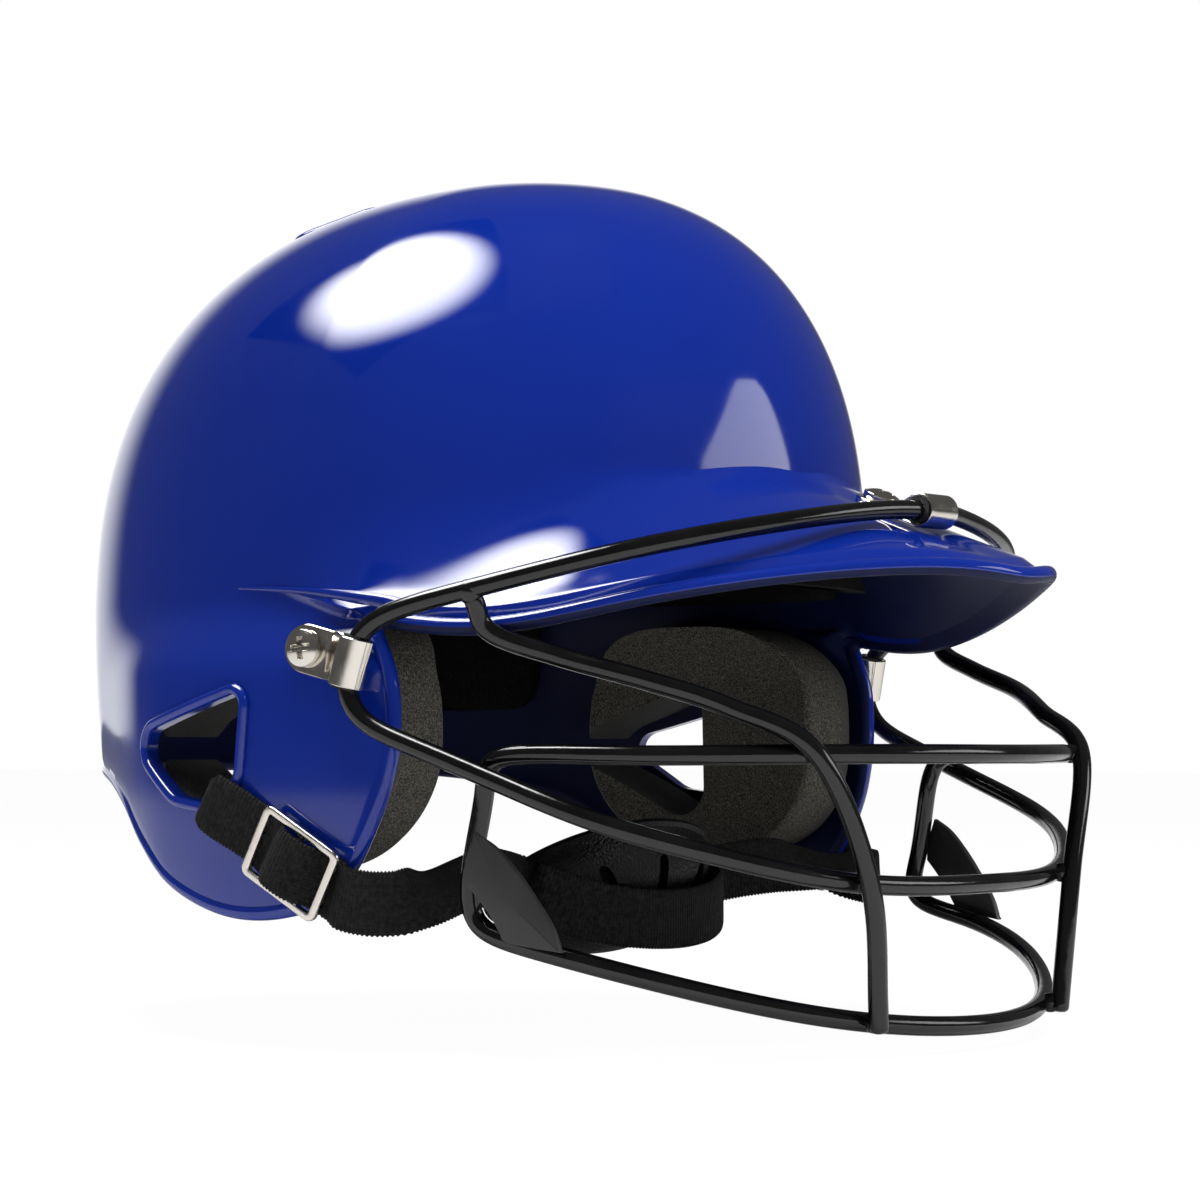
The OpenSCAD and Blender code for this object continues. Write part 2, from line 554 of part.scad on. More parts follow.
// Foam pad on the shell's inner face: rows go up from z0 to z1, each from angle a0 to a1. Its edges are
// drawn in to the share edge_t of its thickness, and its corners are rounded
pad_step = [10, 7];
pad_gap = 1.1;
function pad_fall(f) = pow(1 - pow(abs(2 * f - 1), 4), 0.5);
function any_at(a, z, inset) = a < 0 ? mirrored(head_at(-a, z, inset))
    : a > 180 ? mirrored(head_at(360 - a, z, inset)) : head_at(a, z, inset);
function pad_ring(a0, a1, z, g, t, clear) =
    let (k = pad_step[0], mid = (a0 + a1) / 2, w = (a1 - a0) / 2 * lerp(0.8, 1, g),
         angles = [for (i = [0:k]) mid + w * (2 * i / k - 1)], under = shell_wall + clear)
    concat([for (i = [0:k]) any_at(angles[i], z, under + t * lerp(0.35, 1, g * pad_fall(i / k)))],
           [for (i = [k:-1:0]) any_at(angles[i], z, under)]);
module pad(a0, a1, z0, z1, t, clear = pad_gap) {
    m = pad_step[1];
    color([0.2, 0.2, 0.2])
        loft([for (j = [0:m]) pad_ring(a0, a1, lerp(z0, z1, (1 - cos(180 * j / m)) / 2), pad_fall(j / m), t, clear)],
             bent = true);
}
module pad_front() { pad(-48, 48, 44, 84, pad_t, pad_gap - gap); }
module pad_back() { pad(128, 232, 12, 84, pad_t); }
module pad_side_right() { pad(64, 116, 44, 90, pad_t); }
module pad_side_left() { on_left() pad_side_right(); }
// Round pad under the crown
crown_pad_r = 42;
module pad_crown() {
    under = shell_wall + pad_gap;
    k = 6;
    function crown_ring(r, inset) =
        [for (i = [0:17]) let (a = i * 20, b = a > 180 ? 360 - a : a,
            z = solve(function(z) r - plan_of(head_at(b, z, inset)), waist_z, waist_z + dome_h - inset))
            any_at(a, z, inset)];
    color([0.2, 0.2, 0.2])
        loft(concat([for (j = [1:k]) crown_ring(crown_pad_r * j / k, under)],
                    [for (j = [k:-1:1])
                        crown_ring(crown_pad_r * j / k, under + pad_t * lerp(0.35, 1, pow(1 - pow(j / k, 4), 0.5)))]));
}
// Ear pads: thick foam round an opening for the ear
ear_pad_a = [71, 113];
ear_pad_z = [-31, 36];
module ear_pad() {
    difference() {
        pad(ear_pad_a[0], ear_pad_a[1], ear_pad_z[0], ear_pad_z[1], ear_pad_t, pad_gap + gap);
        mirror([1, 0, 0]) ear_pad_opening();
        at_side()
            translate([0, clip_reach, -ring_r + 2 * clip_t - screw_len - side_lift - side_sag - 2 * gap])
                cylinder(d = nut_w + 2, h = screw_len, $fn = 24);
    }
}
module ear_pad_opening() {
    translate([40, 0, 0]) rotate([90, 0, 90]) linear_extrude(100) ear_outline(6);
}
module ear_pad_right() { ear_pad(); }
module ear_pad_left() { on_left() ear_pad(); }

// Three-bar slides on the straps: place on the flap, direction of the webbing there, and the lift of the
// frame over the webbing that passes under its end bars and over its middle bar
slide_at = [20.5, -28.3];
slide_dir = unit([-0.86, -0.51]);
strap_lift = gap + web_t / 2;
slide_lift = strap_lift + web_t / 2 + gap + slide_t / 2;
hump_lift = slide_lift + slide_t / 2 + 2.4 * gap + web_t / 2;
function off_side(y, z, lift) =
    on_side(y, z) + lift * unit(cross(on_side(y, z + 1) - on_side(y, z - 1), on_side(y + 1, z) - on_side(y - 1, z)));
slide_run = unit(on_side(slide_at[0] + slide_dir[0], slide_at[1] + slide_dir[1])
                 - on_side(slide_at[0] - slide_dir[0], slide_at[1] - slide_dir[1]));
slide_out = unit(off_side(slide_at[0], slide_at[1], 1) - on_side(slide_at[0], slide_at[1]));
web_across = [0, slide_dir[1], -slide_dir[0]];
module slide() {
    bar = slide_l * 0.09;
    window = (slide_l - 3 * bar) / 2;
    inner = web_w + 2 * gap;
    color([0.8, 0.8, 0.8])
        placed(off_side(slide_at[0], slide_at[1], slide_lift - slide_t / 2), slide_run, slide_out)
            linear_extrude(slide_t)
                difference() {
                    square([slide_l, inner + 2 * slide_t], center = true);
                    for (s = [-1, 1])
                        translate([s * (window + bar) / 2, 0]) square([window, inner], center = true);
                }
}
module slide_right() { slide(); }
module slide_left() { on_left() slide(); }

// The strap's hinge line, just off the lower front corner of the flaps: the swinging band's round ends
// lie inside the straps' round ends
hinge_yz = [-4, -38.5];
band_x = -side_x(4, -33) - lip_out - strap_lift;
strap_x = band_x - web_t - gap;
round_end = [[0.94, 0.34], [0.7, 0.714], [0.37, 0.93], [0, 1]];

// Strap: each point holds places [back, up] on the flap, lift of the webbing's middle, half width. It
// comes out of the ear hole over its lip and ends at the hinge
strap_k = let (c = slide_at, d = slide_dir, h = slide_l / 2, w = web_w / 2,
               on = function(f, lift) [c[0] + d[0] * h * f, c[1] + d[1] * h * f, lift, w])
    [[51.8, -8.2, -4.5, 3], [50.2, -10.2, -1.2, 3.6], [48, -12.4, ear_lip / 2 + strap_lift + 0.6, 6.4],
     [45.2, -14, ear_lip / 2 + strap_lift + 0.7, w], on(-1.3, strap_lift + 0.4), on(-1, strap_lift), on(-0.6, strap_lift + 0.8),
     on(-0.28, hump_lift), on(0.28, hump_lift), on(0.6, strap_lift + 0.8), on(1, strap_lift)];
strap_points = concat([for (k = strap_k) off_side(k[0], k[1], k[2])],
                      [[strap_x, hinge_yz[0] + web_w / 2 + 1, hinge_yz[1] + 1.5], [strap_x, hinge_yz[0], hinge_yz[1]]]);
strap_half = concat([for (k = strap_k) k[3]], [web_w / 2, web_w / 2]);
strap_end = unit([0, slide_dir[0], slide_dir[1]]);
module webbing() { color([0.06, 0.06, 0.06]) children(); }
module strap() {
    K = with_ends(strap_points);
    spans = len(strap_points) - 1;
    per = 3;
    path = concat([for (i = [0:spans * per]) through_at(K, i / per)],
                  [for (e = [2, 1, 0]) strap_points[spans] + [0, slide_dir[0], slide_dir[1]] * round_end[e][0] * web_w / 2]);
    half = concat([for (i = [0:spans * per]) lerp(strap_half[floor(i / per)],
                                                 strap_half[min(spans, floor(i / per) + 1)], i / per - floor(i / per))],
                  [for (e = [2, 1, 0]) round_end[e][1] * web_w / 2]);
    webbing() loft(strip_rings(path, function(i) web_across, web_t, function(i) half[i]));
}
module strap_right() { strap(); }
module strap_left() { on_left() strap(); }

// Chin cup: a dish whose open side faces back and up. Half length, half height and depth of the dish
cup_mid = [0, 12, -35];
cup_half = cup_l / 2;
cup_rise = 24;
cup_depth = 20;
cup_wall = 2.4;
cup_up = [0, -0.8, 0.6];
cup_down = cross([1, 0, 0], cup_up);
function cup_ring(turn, inset) =
    [for (i = [27:-1:0]) let (a = 360 * i / 28)
        cup_mid + sin(turn) * ((cup_half - inset) * cos(a) * [1, 0, 0] + (cup_rise - inset) * sin(a) * cup_up)
        + cos(turn) * (cup_depth - inset) * cup_down];
cup_slots = [-19, 0, 19];
module chin_cup() {
    color([0.08, 0.08, 0.09])
        difference() {
            loft(concat([for (t = [12:13:90]) cup_ring(t, 0)], [for (t = [90:-13:12]) cup_ring(t, cup_wall)]));
            for (x = cup_slots, f = [0:2])
                hull()
                    for (g = [f, f + 1]) {
                        turn = 38 + g * 8;
                        side = x / cup_half;
                        p = cup_mid + [x, 0, 0] + sqrt(1 - side * side) * (sin(turn) * cup_rise * cup_up
                                                                         + cos(turn) * cup_depth * cup_down);
                        translate(p) sphere(r = 1.8, $fn = 8);
                    }
        }
}

// Chin band: from a round end beside each strap, forward and in under the flap's corner, then round the
// front of the cup, lower there than at its ends. Places of the right half, mirrored past the middle
band_out = web_t / 2 + 2.5 * gap;
band_front = [for (a = [10, 25, 42, 58, 74, 90])
    [-(cup_half + band_out) * cos(a), cup_mid[1] - 2 - (cup_rise - 2 + band_out) * sin(a), -34 - 12 * sin(a)]];
band_k = concat([[band_x, hinge_yz[0], hinge_yz[1]], [band_x + 0.6, hinge_yz[0] - 2.6, hinge_yz[1]],
                 [band_x + 4, hinge_yz[0] - 5, hinge_yz[1] + 0.5], [-104, -10.5, -37], [-85, -8, -35],
                 [-62, -1, -33.5]], band_front);
module chin_band() {
    K = with_ends(band_k);
    spans = len(band_k) - 1;
    per = 3;
    h = band_k[0];
    path = concat([for (e = round_end) if (e[0] > 0) h + [0, e[0] * web_w / 2, 0]],
                  [for (i = [0:spans * per]) through_at(K, i / per)]);
    half = [for (i = [0:len(path) - 1]) i < 3 ? round_end[i][1] * web_w / 2 : web_w / 2];
    n = len(path) - 1;
    whole = concat(path, flip_x([for (i = [n - 1:-1:0]) path[i]]));
    webbing() loft(strip_rings(whole, function(i) [0, 0, 1], web_t, function(i) half[min(i, 2 * n - i)]));
}

shell();
guard_top_wire();
guard_middle_bar();
guard_nose_bar();
guard_jaw_bar();
guard_upright_right();
guard_upright_left();
jaw_plate_right();
jaw_plate_left();
clip_front();
clip_right();
clip_left();
sleeve_front();
sleeve_right();
sleeve_left();
clip_screws();
clip_nuts();
pad_front();
pad_crown();
pad_back();
pad_side_right();
pad_side_left();
ear_pad_right();
ear_pad_left();
strap_right();
strap_left();
slide_right();
slide_left();
chin_band();
chin_cup();
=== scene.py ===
import bpy
import numpy as np
from mathutils import Matrix


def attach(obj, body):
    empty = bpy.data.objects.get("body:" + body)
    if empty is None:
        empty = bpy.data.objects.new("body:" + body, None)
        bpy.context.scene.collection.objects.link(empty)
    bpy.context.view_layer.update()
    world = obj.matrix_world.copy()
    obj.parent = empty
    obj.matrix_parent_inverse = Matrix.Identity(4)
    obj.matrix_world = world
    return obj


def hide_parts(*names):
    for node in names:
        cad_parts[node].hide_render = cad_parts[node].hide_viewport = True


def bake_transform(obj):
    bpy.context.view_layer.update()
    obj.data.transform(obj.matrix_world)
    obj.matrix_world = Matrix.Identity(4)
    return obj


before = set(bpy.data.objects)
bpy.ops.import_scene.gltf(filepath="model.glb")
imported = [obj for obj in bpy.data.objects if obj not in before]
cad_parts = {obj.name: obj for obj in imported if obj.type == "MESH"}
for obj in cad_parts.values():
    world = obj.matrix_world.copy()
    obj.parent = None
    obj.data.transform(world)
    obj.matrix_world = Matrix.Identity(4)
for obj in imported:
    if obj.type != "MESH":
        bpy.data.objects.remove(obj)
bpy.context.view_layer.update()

# Camera at the photograph's place: 51 degrees to the wearer's right of the front and level with the
# eyes, turned up a little. Its horizontal field takes in 1200 photograph pixels at 3412 pixels' reach.
eye_place = np.array([-0.7483, -0.5639, 0.0])
eye_turn, eye_rise = np.radians(-52.42), np.radians(2.5)
sight = np.array([-np.sin(eye_turn) * np.cos(eye_rise), np.cos(eye_turn) * np.cos(eye_rise),
                  np.sin(eye_rise)])
sight_right = np.array([np.cos(eye_turn), np.sin(eye_turn), 0])
camera = bpy.data.objects.new("camera", bpy.data.cameras.new("camera"))
bpy.context.scene.collection.objects.link(camera)
camera.matrix_world = Matrix([[*row, at] for row, at in zip(
    np.column_stack([sight_right, np.cross(sight_right, sight), -sight]), eye_place)] + [[0, 0, 0, 1]])
camera.data.sensor_width = 36
camera.data.lens = 3412 / 1200 * 36
camera.data.clip_start = 0.01
bpy.context.scene.camera = camera
bpy.context.scene.view_settings.view_transform = "Standard"


# Studio: a white floor and surround, even light from all round, three soft lamps, and two softboxes that
# only the gloss picks up, one over the crown and one in front of the brow. Lengths from here on are
# millimetres.
def add_node(tree, kind, plugs={}, **settings):
    """A node of that kind, with its settings, and each plug given a value or linked to an output."""
    node = tree.nodes.new(kind)
    for name, value in settings.items():
        setattr(node, name, value)
    for name, value in plugs.items():
        if isinstance(value, bpy.types.NodeSocket):
            tree.links.new(value, node.inputs[name])
        else:
            node.inputs[name].default_value = value
    return node


floor_z = -76
surround = bpy.data.worlds.new("surround")
bpy.context.scene.world = surround
surround.use_nodes = True
sky = surround.node_tree
sky.nodes.clear()
sky_ray = add_node(sky, "ShaderNodeLightPath")
sky_way = add_node(sky, "ShaderNodeTexCoord")
# Share of the surround that lies beyond the object, opposite the camera
beyond = add_node(sky, "ShaderNodeVectorMath", {0: sky_way.outputs["Generated"], 1: (0.6, 0.8, 0)},
                  operation="DOT_PRODUCT")
sky_lit = add_node(sky, "ShaderNodeMapRange", {"Value": beyond.outputs["Value"], "From Min": 0.85,
                                               "From Max": 0.97, "To Min": 0.1, "To Max": 1.25},
                   interpolation_type="SMOOTHSTEP")
white = (1, 1, 1, 1)
plain = add_node(sky, "ShaderNodeBackground", {"Color": white, "Strength": 0.2})
seen = add_node(sky, "ShaderNodeBackground", {"Color": white, "Strength": 1.0})
mirrored_sky = add_node(sky, "ShaderNodeBackground", {"Color": white, "Strength": sky_lit.outputs["Result"]})
by_gloss = add_node(sky, "ShaderNodeMixShader", {0: sky_ray.outputs["Is Glossy Ray"], 1: plain.outputs[0],
                                                 2: mirrored_sky.outputs[0]})
direct = add_node(sky, "ShaderNodeMath", {0: sky_ray.outputs["Is Camera Ray"],
                                          1: sky_ray.outputs["Is Transmission Ray"]}, operation="MAXIMUM")
by_eye = add_node(sky, "ShaderNodeMixShader", {0: direct.outputs[0], 1: by_gloss.outputs[0],
                                               2: seen.outputs[0]})
add_node(sky, "ShaderNodeOutputWorld", {"Surface": by_eye.outputs[0]})

floor_mesh = bpy.data.meshes.new("floor")
floor_corners = [(-9, -9), (9, -9), (9, 9), (-9, 9)]
floor_mesh.from_pydata([(x, y, floor_z / 1000) for x, y in floor_corners], [], [(0, 1, 2, 3)])
floor = bpy.data.objects.new("floor", floor_mesh)
bpy.context.scene.collection.objects.link(floor)
pale = bpy.data.materials.new("pale floor")
pale.use_nodes = True
pale.node_tree.nodes.clear()
floor_ray = add_node(pale.node_tree, "ShaderNodeLightPath")
floor_seen = add_node(pale.node_tree, "ShaderNodeMath", {0: floor_ray.outputs["Is Camera Ray"], 1: 0.93},
                      operation="MULTIPLY")
floor_matt = add_node(pale.node_tree, "ShaderNodeBsdfDiffuse", {"Color": (0.9, 0.9, 0.9, 1)})
floor_glow = add_node(pale.node_tree, "ShaderNodeEmission", {"Color": white, "Strength": 1.04})
floor_mix = add_node(pale.node_tree, "ShaderNodeMixShader",
                     {0: floor_seen.outputs[0], 1: floor_matt.outputs[0], 2: floor_glow.outputs[0]})
add_node(pale.node_tree, "ShaderNodeOutputMaterial", {"Surface": floor_mix.outputs[0]})
floor_mesh.materials.append(pale)


def lamp(name, way, size, strength, away=1.6):
    """Square soft lamp of that size in metres, that way from the head, that the gloss doesn't show."""
    way = np.array(way) / np.linalg.norm(way)
    data = bpy.data.lights.new(name, "AREA")
    data.size = size
    data.energy = strength * np.pi * size * size
    holder = bpy.data.objects.new(name, data)
    bpy.context.scene.collection.objects.link(holder)
    side = np.cross([0, 0, 1], way)
    side /= np.linalg.norm(side)
    holder.matrix_world = Matrix([[*row, at] for row, at in zip(
        np.column_stack([side, np.cross(way, side), way]), way * away)] + [[0, 0, 0, 1]])
    holder.visible_glossy = False


def softbox(name, corners, strength, soft, power):
    """Glowing card, by its corners, that only the gloss shows: its light fades over its rounded edge, where
    the powers of the places across and up, from -1 to 1, add up to one."""
    mesh = bpy.data.meshes.new(name)
    mesh.from_pydata((np.array(corners, float) / 1000).tolist(), [], [(0, 1, 2, 3)])
    uv = mesh.uv_layers.new(name="card")
    uv.data.foreach_set("uv", [0.0, 0, 1, 0, 1, 1, 0, 1])
    card = bpy.data.objects.new(name, mesh)
    bpy.context.scene.collection.objects.link(card)
    glow = bpy.data.materials.new(name)
    glow.use_nodes = True
    tree = glow.node_tree
    tree.nodes.clear()
    place = add_node(tree, "ShaderNodeSeparateXYZ", {0: add_node(tree, "ShaderNodeTexCoord").outputs["UV"]})
    total = None
    for axis in "XY":
        across = add_node(tree, "ShaderNodeMath", {0: place.outputs[axis], 1: 2.0, 2: -1.0},
                          operation="MULTIPLY_ADD")
        size = add_node(tree, "ShaderNodeMath", {0: across.outputs[0]}, operation="ABSOLUTE")
        raised = add_node(tree, "ShaderNodeMath", {0: size.outputs[0], 1: float(power)}, operation="POWER")
        total = raised if total is None else add_node(
            tree, "ShaderNodeMath", {0: total.outputs[0], 1: raised.outputs[0]}, operation="ADD")
    glowing = add_node(tree, "ShaderNodeMapRange", {"Value": total.outputs[0], "From Min": 1.0,
                                                    "From Max": 1.0 - soft, "To Max": float(strength)},
                       interpolation_type="SMOOTHSTEP")
    light = add_node(tree, "ShaderNodeEmission", {"Color": white, "Strength": glowing.outputs[0]})
    add_node(tree, "ShaderNodeOutputMaterial", {"Surface": light.outputs[0]})
    mesh.materials.append(glow)
    card.visible_camera = card.visible_diffuse = card.visible_shadow = card.visible_transmission = False


lamp("lamp_top", (-0.1, -0.15, 1), 1.2, 6.6)
lamp("lamp_shoulder", (-0.6, 0.45, 0.5), 1.0, 0.9)
lamp("lamp_brow", (0.05, -0.95, 0.3), 0.9, 3.6)
softbox("softbox_crown", [[-335, 102, 284], [-192, -140, 422], [27, 99, 430], [-115, 342, 291]],
        strength=22, soft=0.75, power=2)
softbox("softbox_brow", [[265, -1275, 355], [1020, -835, 230], [845, -855, 655], [655, -985, 695]],
        strength=4.2, soft=0.12, power=8)

# Shell: one injection-moulded shell of glossy blue ABS, 3.2 mm thick, with the peak, two ear flaps, a
# rolled lip round its whole lower edge, an ear hole in each flap and five vent slots in the crown.
wall = 3.2
half_width, reach_front, reach_back, dome_high = 104, 89, 138, 117
waist_z, mid_y, lean = 40, 34, 4.5
dome_power, back_power = 2.44, 2.07
flap_swell, flap_drop, nape_drop = 11, 43, 6
peak_reach = 160


def lerp(a, b, t):
    return a + (b - a) * t


def ease(t):
    """Smooth step from 0 to 1."""
    c = np.clip(t, 0, 1)
    return c * c * (3 - 2 * c)


def unit(v):
    return v / np.linalg.norm(v, axis=-1, keepdims=True)


def dot(a, b):
    return (a * b).sum(-1, keepdims=True)


def mirrored(p):
    return p * [-1, 1, 1]


def head_size(z, inset):
    """How far up the dome a height is, from 0 to 1, and how much the outline has shrunk there."""
    rise = np.maximum(0, (z - waist_z) / (dome_high - inset))
    return rise, np.maximum(1e-4, 1 - rise ** dome_power) ** (1 / dome_power)


def head_half_width(a, z, inset):
    """Half width of the outline: the dome's, with the flaps' swell below the waist, drawn in again below."""
    swell = flap_swell * ease((waist_z - z) / 22) * (1 - ease((a - 108) / 34)) - 3 * ease((-10 - z) / 40)
    shrink = head_size(z, inset)[1]
    return np.where(z > waist_z, (half_width - inset) * shrink, half_width - inset + swell)


def head_reach(behind, z, inset):
    """Reach of the outline ahead of or behind the head's middle."""
    shrink = head_size(z, inset)[1]
    tucked = reach_back - inset - 7 * ((waist_z - z) / 55) ** 2
    back = np.where(z > waist_z, (reach_back - inset) * shrink, tucked)
    return np.where(behind, back, (reach_front - inset) * shrink)


def outline_power(behind, z):
    """Power of the outline: squarer at the temples than over the brow, and nearly round behind."""
    return np.where(behind, back_power, lerp(2.6, 1.87, ease((z - 15) / 50)))


def head_at(a, z, inset=0.0):
    """Superellipse round the head at height z, by the angle a in degrees from the front to the wearer's
    right; the powers of sine over half width and cosine over reach add up to one."""
    a, z, inset = np.broadcast_arrays(np.asarray(a, float), z, inset)
    other_side = (a < 0) | (a > 180)
    a = np.where(a < 0, -a, np.where(a > 180, 360 - a, a))
    sine, cosine = np.sin(np.radians(a)), np.cos(np.radians(a))
    power = outline_power(a > 90, z)
    wide, long = head_half_width(a, z, inset), head_reach(a > 90, z, inset)
    r = ((np.abs(sine) / wide) ** power + (np.abs(cosine) / long) ** power) ** (-1 / power)
    x = np.where(other_side, r * sine, -r * sine)
    return np.stack([x, mid_y - lean * head_size(z, inset)[0] - r * cosine, z], -1)


def pulled(k, t):
    """Cubic B-spline that the points k pull, at t spans from the second point."""
    i = np.minimum(np.floor(t), len(k) - 4).astype(int)
    u = (t - i)[:, None]
    return ((1 - u) ** 3 * k[i] + (3 * u ** 3 - 6 * u * u + 4) * k[i + 1]
            + (-3 * u ** 3 + 3 * u * u + 3 * u + 1) * k[i + 2] + u ** 3 * k[i + 3]) / 6


def passed(k, t):
    """Catmull-Rom spline through the points k, at t spans from the second point."""
    i = np.minimum(np.floor(t), len(k) - 4).astype(int)
    u = (t - i)[:, None]
    a, b, c, d = k[i], k[i + 1], k[i + 2], k[i + 3]
    return 0.5 * (2 * b + (c - a) * u + (2 * a - 5 * b + 4 * c - d) * u * u
                  + (3 * b - a - 3 * c + d) * u ** 3)


def surface(name, points, round_section=True, round_path=False, uv=None, sharp=None):
    """Mesh over a grid of points in millimetres: rows along the path, columns round the section. Open
    ends of the path close on a middle point, and the faces are turned outwards by the solid's volume."""
    rows, cols = points.shape[:2]
    i = np.arange(rows if round_path else rows - 1)[:, None]
    j = np.arange(cols if round_section else cols - 1)[None, :]
    ahead, beside = (i + 1) % rows * cols, (j + 1) % cols
    quads = np.stack([i * cols + j, i * cols + beside, ahead + beside, ahead + j], -1).reshape(-1, 4)
    places = points.reshape(-1, 3)
    fans = np.zeros((0, 3), int)
    if round_section and not round_path:
        k = np.arange(cols)
        last = (rows - 1) * cols
        first_fan = np.column_stack([k, np.full(cols, len(places)), (k + 1) % cols])
        last_fan = np.column_stack([last + k, last + (k + 1) % cols, np.full(cols, len(places) + 1)])
        fans = np.concatenate([first_fan, last_fan])
        places = np.concatenate([places, points[[0, -1]].mean(1)])
    corners = places[np.concatenate([quads[:, [0, 1, 2]], quads[:, [0, 2, 3]], fans])]
    if np.einsum("ij,ij->", corners[:, 0], np.cross(corners[:, 1], corners[:, 2])) < 0:
        quads, fans = quads[:, ::-1], fans[:, ::-1]
    mesh = bpy.data.meshes.new(name)
    mesh.from_pydata((places / 1000).tolist(), [], quads.tolist() + fans.tolist())
    mesh.polygons.foreach_set("use_smooth", np.ones(len(mesh.polygons), bool))
    if uv is not None:
        flat = uv.reshape(-1, 2)
        flat = np.concatenate([flat, np.tile(flat.mean(0), (len(places) - len(flat), 1))])
        corner = np.empty(len(mesh.loops), int)
        mesh.loops.foreach_get("vertex_index", corner)
        mesh.uv_layers.new(name="along").data.foreach_set("uv", flat[corner].ravel())
    if sharp is not None:
        mesh.set_sharp_from_angle(angle=np.radians(sharp))
    piece = bpy.data.objects.new(name, mesh)
    bpy.context.scene.collection.objects.link(piece)
    return piece


def cut(piece, tools, sharp):
    """Takes the tools' volumes out of the piece, then removes the tools."""
    for tool in tools:
        step = piece.modifiers.new("cut", "BOOLEAN")
        step.operation, step.solver, step.object = "DIFFERENCE", "MANIFOLD", tool
    bpy.context.view_layer.update()
    whole = piece.data
    piece.data = bpy.data.meshes.new_from_object(piece.evaluated_get(bpy.context.evaluated_depsgraph_get()))
    piece.modifiers.clear()
    bpy.data.meshes.remove(whole)
    for tool in tools:
        bpy.data.meshes.remove(tool.data)
    piece.data.name = piece.name
    piece.data.set_sharp_from_angle(angle=np.radians(sharp))


# Edge of the peak, from the front middle back to the temple: share of the half width, share of the
# peak's reach, height
peak_line = np.array([[0, 1, 44], [0.212, 0.975, 47.5], [0.529, 0.825, 45.5], [0.856, 0.625, 38.5],
                      [1.01, 0.388, 28.5], [1.087, 0.153, 37], [1.087, -0.06, 40.5]])
peak_line = peak_line * [-half_width, -peak_reach, 1] + [0, mid_y, 0]
peak_pull = np.concatenate([mirrored(peak_line[1:2]), peak_line])
peak_spans, peak_columns, side_columns = 4.6, 72, 171
peak_end = pulled(peak_pull, np.array([peak_spans]))[0]
peak_end_a = np.degrees(np.arctan2(-peak_end[0], mid_y - peak_end[1]))

# Trim line behind the temple: angle of the ridge, angle of the rim, drop of the rim as a share
trim = np.array([[peak_end_a, peak_end_a - 1, -(peak_end[2] - wall) / flap_drop],
                 [75, 70, -0.6], [78.5, 69, -0.3], [82, 69, -0.02], [85.5, 70.2, 0.24], [89, 72.4, 0.49],
                 [92.5, 75.4, 0.72], [96, 80, 0.9], [100, 87, 0.985], [105, 94.5, 1], [110, 102, 0.94],
                 [115.5, 109.5, 0.81], [121, 116.5, 0.6], [128, 124.5, 0.37], [139, 138, 0.22],
                 [152, 151.5, 0.16]]
                + [[turn, turn, nape_drop / flap_drop] for turn in (166, 180, 194)])
trim_pass = np.concatenate([2 * trim[:1] - trim[1:2], trim])

# Columns from the front middle to the nape: angle, height and stand-out of the edge in a1, z1 and d1, of
# the rim in a2, z2 and d2, and the share of each column that belongs to the peak in near
edge = pulled(peak_pull, np.arange(peak_columns) / peak_columns * peak_spans)
edge = np.concatenate([edge, peak_end[None]])
edge_a = np.degrees(np.arctan2(-edge[:, 0], mid_y - edge[:, 1]))
under = edge + [0, 0.8, -wall]
edge_out = edge - head_at(edge_a, edge[:, 2])
under_out = under - head_at(edge_a, under[:, 2])
side_t = np.linspace(0, len(trim) - 2, side_columns)
side = passed(trim_pass, side_t)
fade = 1 - ease((side[:, 0] - peak_end_a) / 24)
near_side = 1 - ease(side_t / 1.6)
a1 = np.concatenate([edge_a[:-1], side[:, 0]])
z1 = np.concatenate([edge[:-1, 2], lerp(41, peak_end[2], fade)])
d1 = np.concatenate([edge_out[:-1], edge_out[-1] * fade[:, None]])
a2 = np.concatenate([edge_a[:-1], side[:, 1]])
z2 = np.concatenate([under[:-1, 2], -flap_drop * side[:, 2]])
d2 = np.concatenate([under_out[:-1], under_out[-1] * near_side[:, None]])
near = np.concatenate([np.ones(peak_columns), near_side])
near3 = near[:, None]
flare_z = lerp(66, 94, np.maximum(0, np.cos(np.radians(np.minimum(a1, 90)))) ** 0.8)
fillet_from = lerp(0.43, 0, ease((a1 - 20) / 60))
fillet_power = lerp(1.13, 3.2, ease((a1 - 15) / 75))


def stood_out(v):
    """Stand-out at v: none down to where the fillet starts, then the edge's times a power of the rest."""
    return (np.maximum(0, (v - fillet_from) / (1 - fillet_from)) ** fillet_power)[:, None] * d1


def flare_at(v):
    """Outer face from the flare, at 0, to the edge, at 1: the head form plus the stand-out."""
    return head_at(a1, lerp(flare_z, z1, v)) + stood_out(v)


def skirt_at(v):
    """Outer face from the edge, at 0, to the rim, at 1: the stand-out dies away just under the ridge."""
    v = np.broadcast_to(v, a1.shape)
    fall = ((1 - v) ** lerp(12, 1, near))[:, None]
    return head_at(lerp(a1, a2, v), lerp(z1, z2, v)) + d2 + fall * (d1 - d2)


def in_flare_at(v):
    """Inner face of the flare, one wall inside, thinner towards the peak's edge."""
    v = np.broadcast_to(v, a1.shape)
    return head_at(a1, lerp(flare_z, z1, v) - wall * v * near, wall * (1 - 0.7 * v * near)) + stood_out(v)


def in_skirt_at(v):
    """Inner face of the skirt, one wall inside. Under the peak it is the end of the inner flare."""
    v = np.broadcast_to(v, a1.shape)
    fall = ((1 - v) ** 12)[:, None]
    low = head_at(lerp(a1, a2, v), lerp(z1, z2, v), wall) + (d2 + fall * d1) * (1 - near3)
    return lerp(low, in_flare_at(lerp(0.9, 0.95, v)), near3)


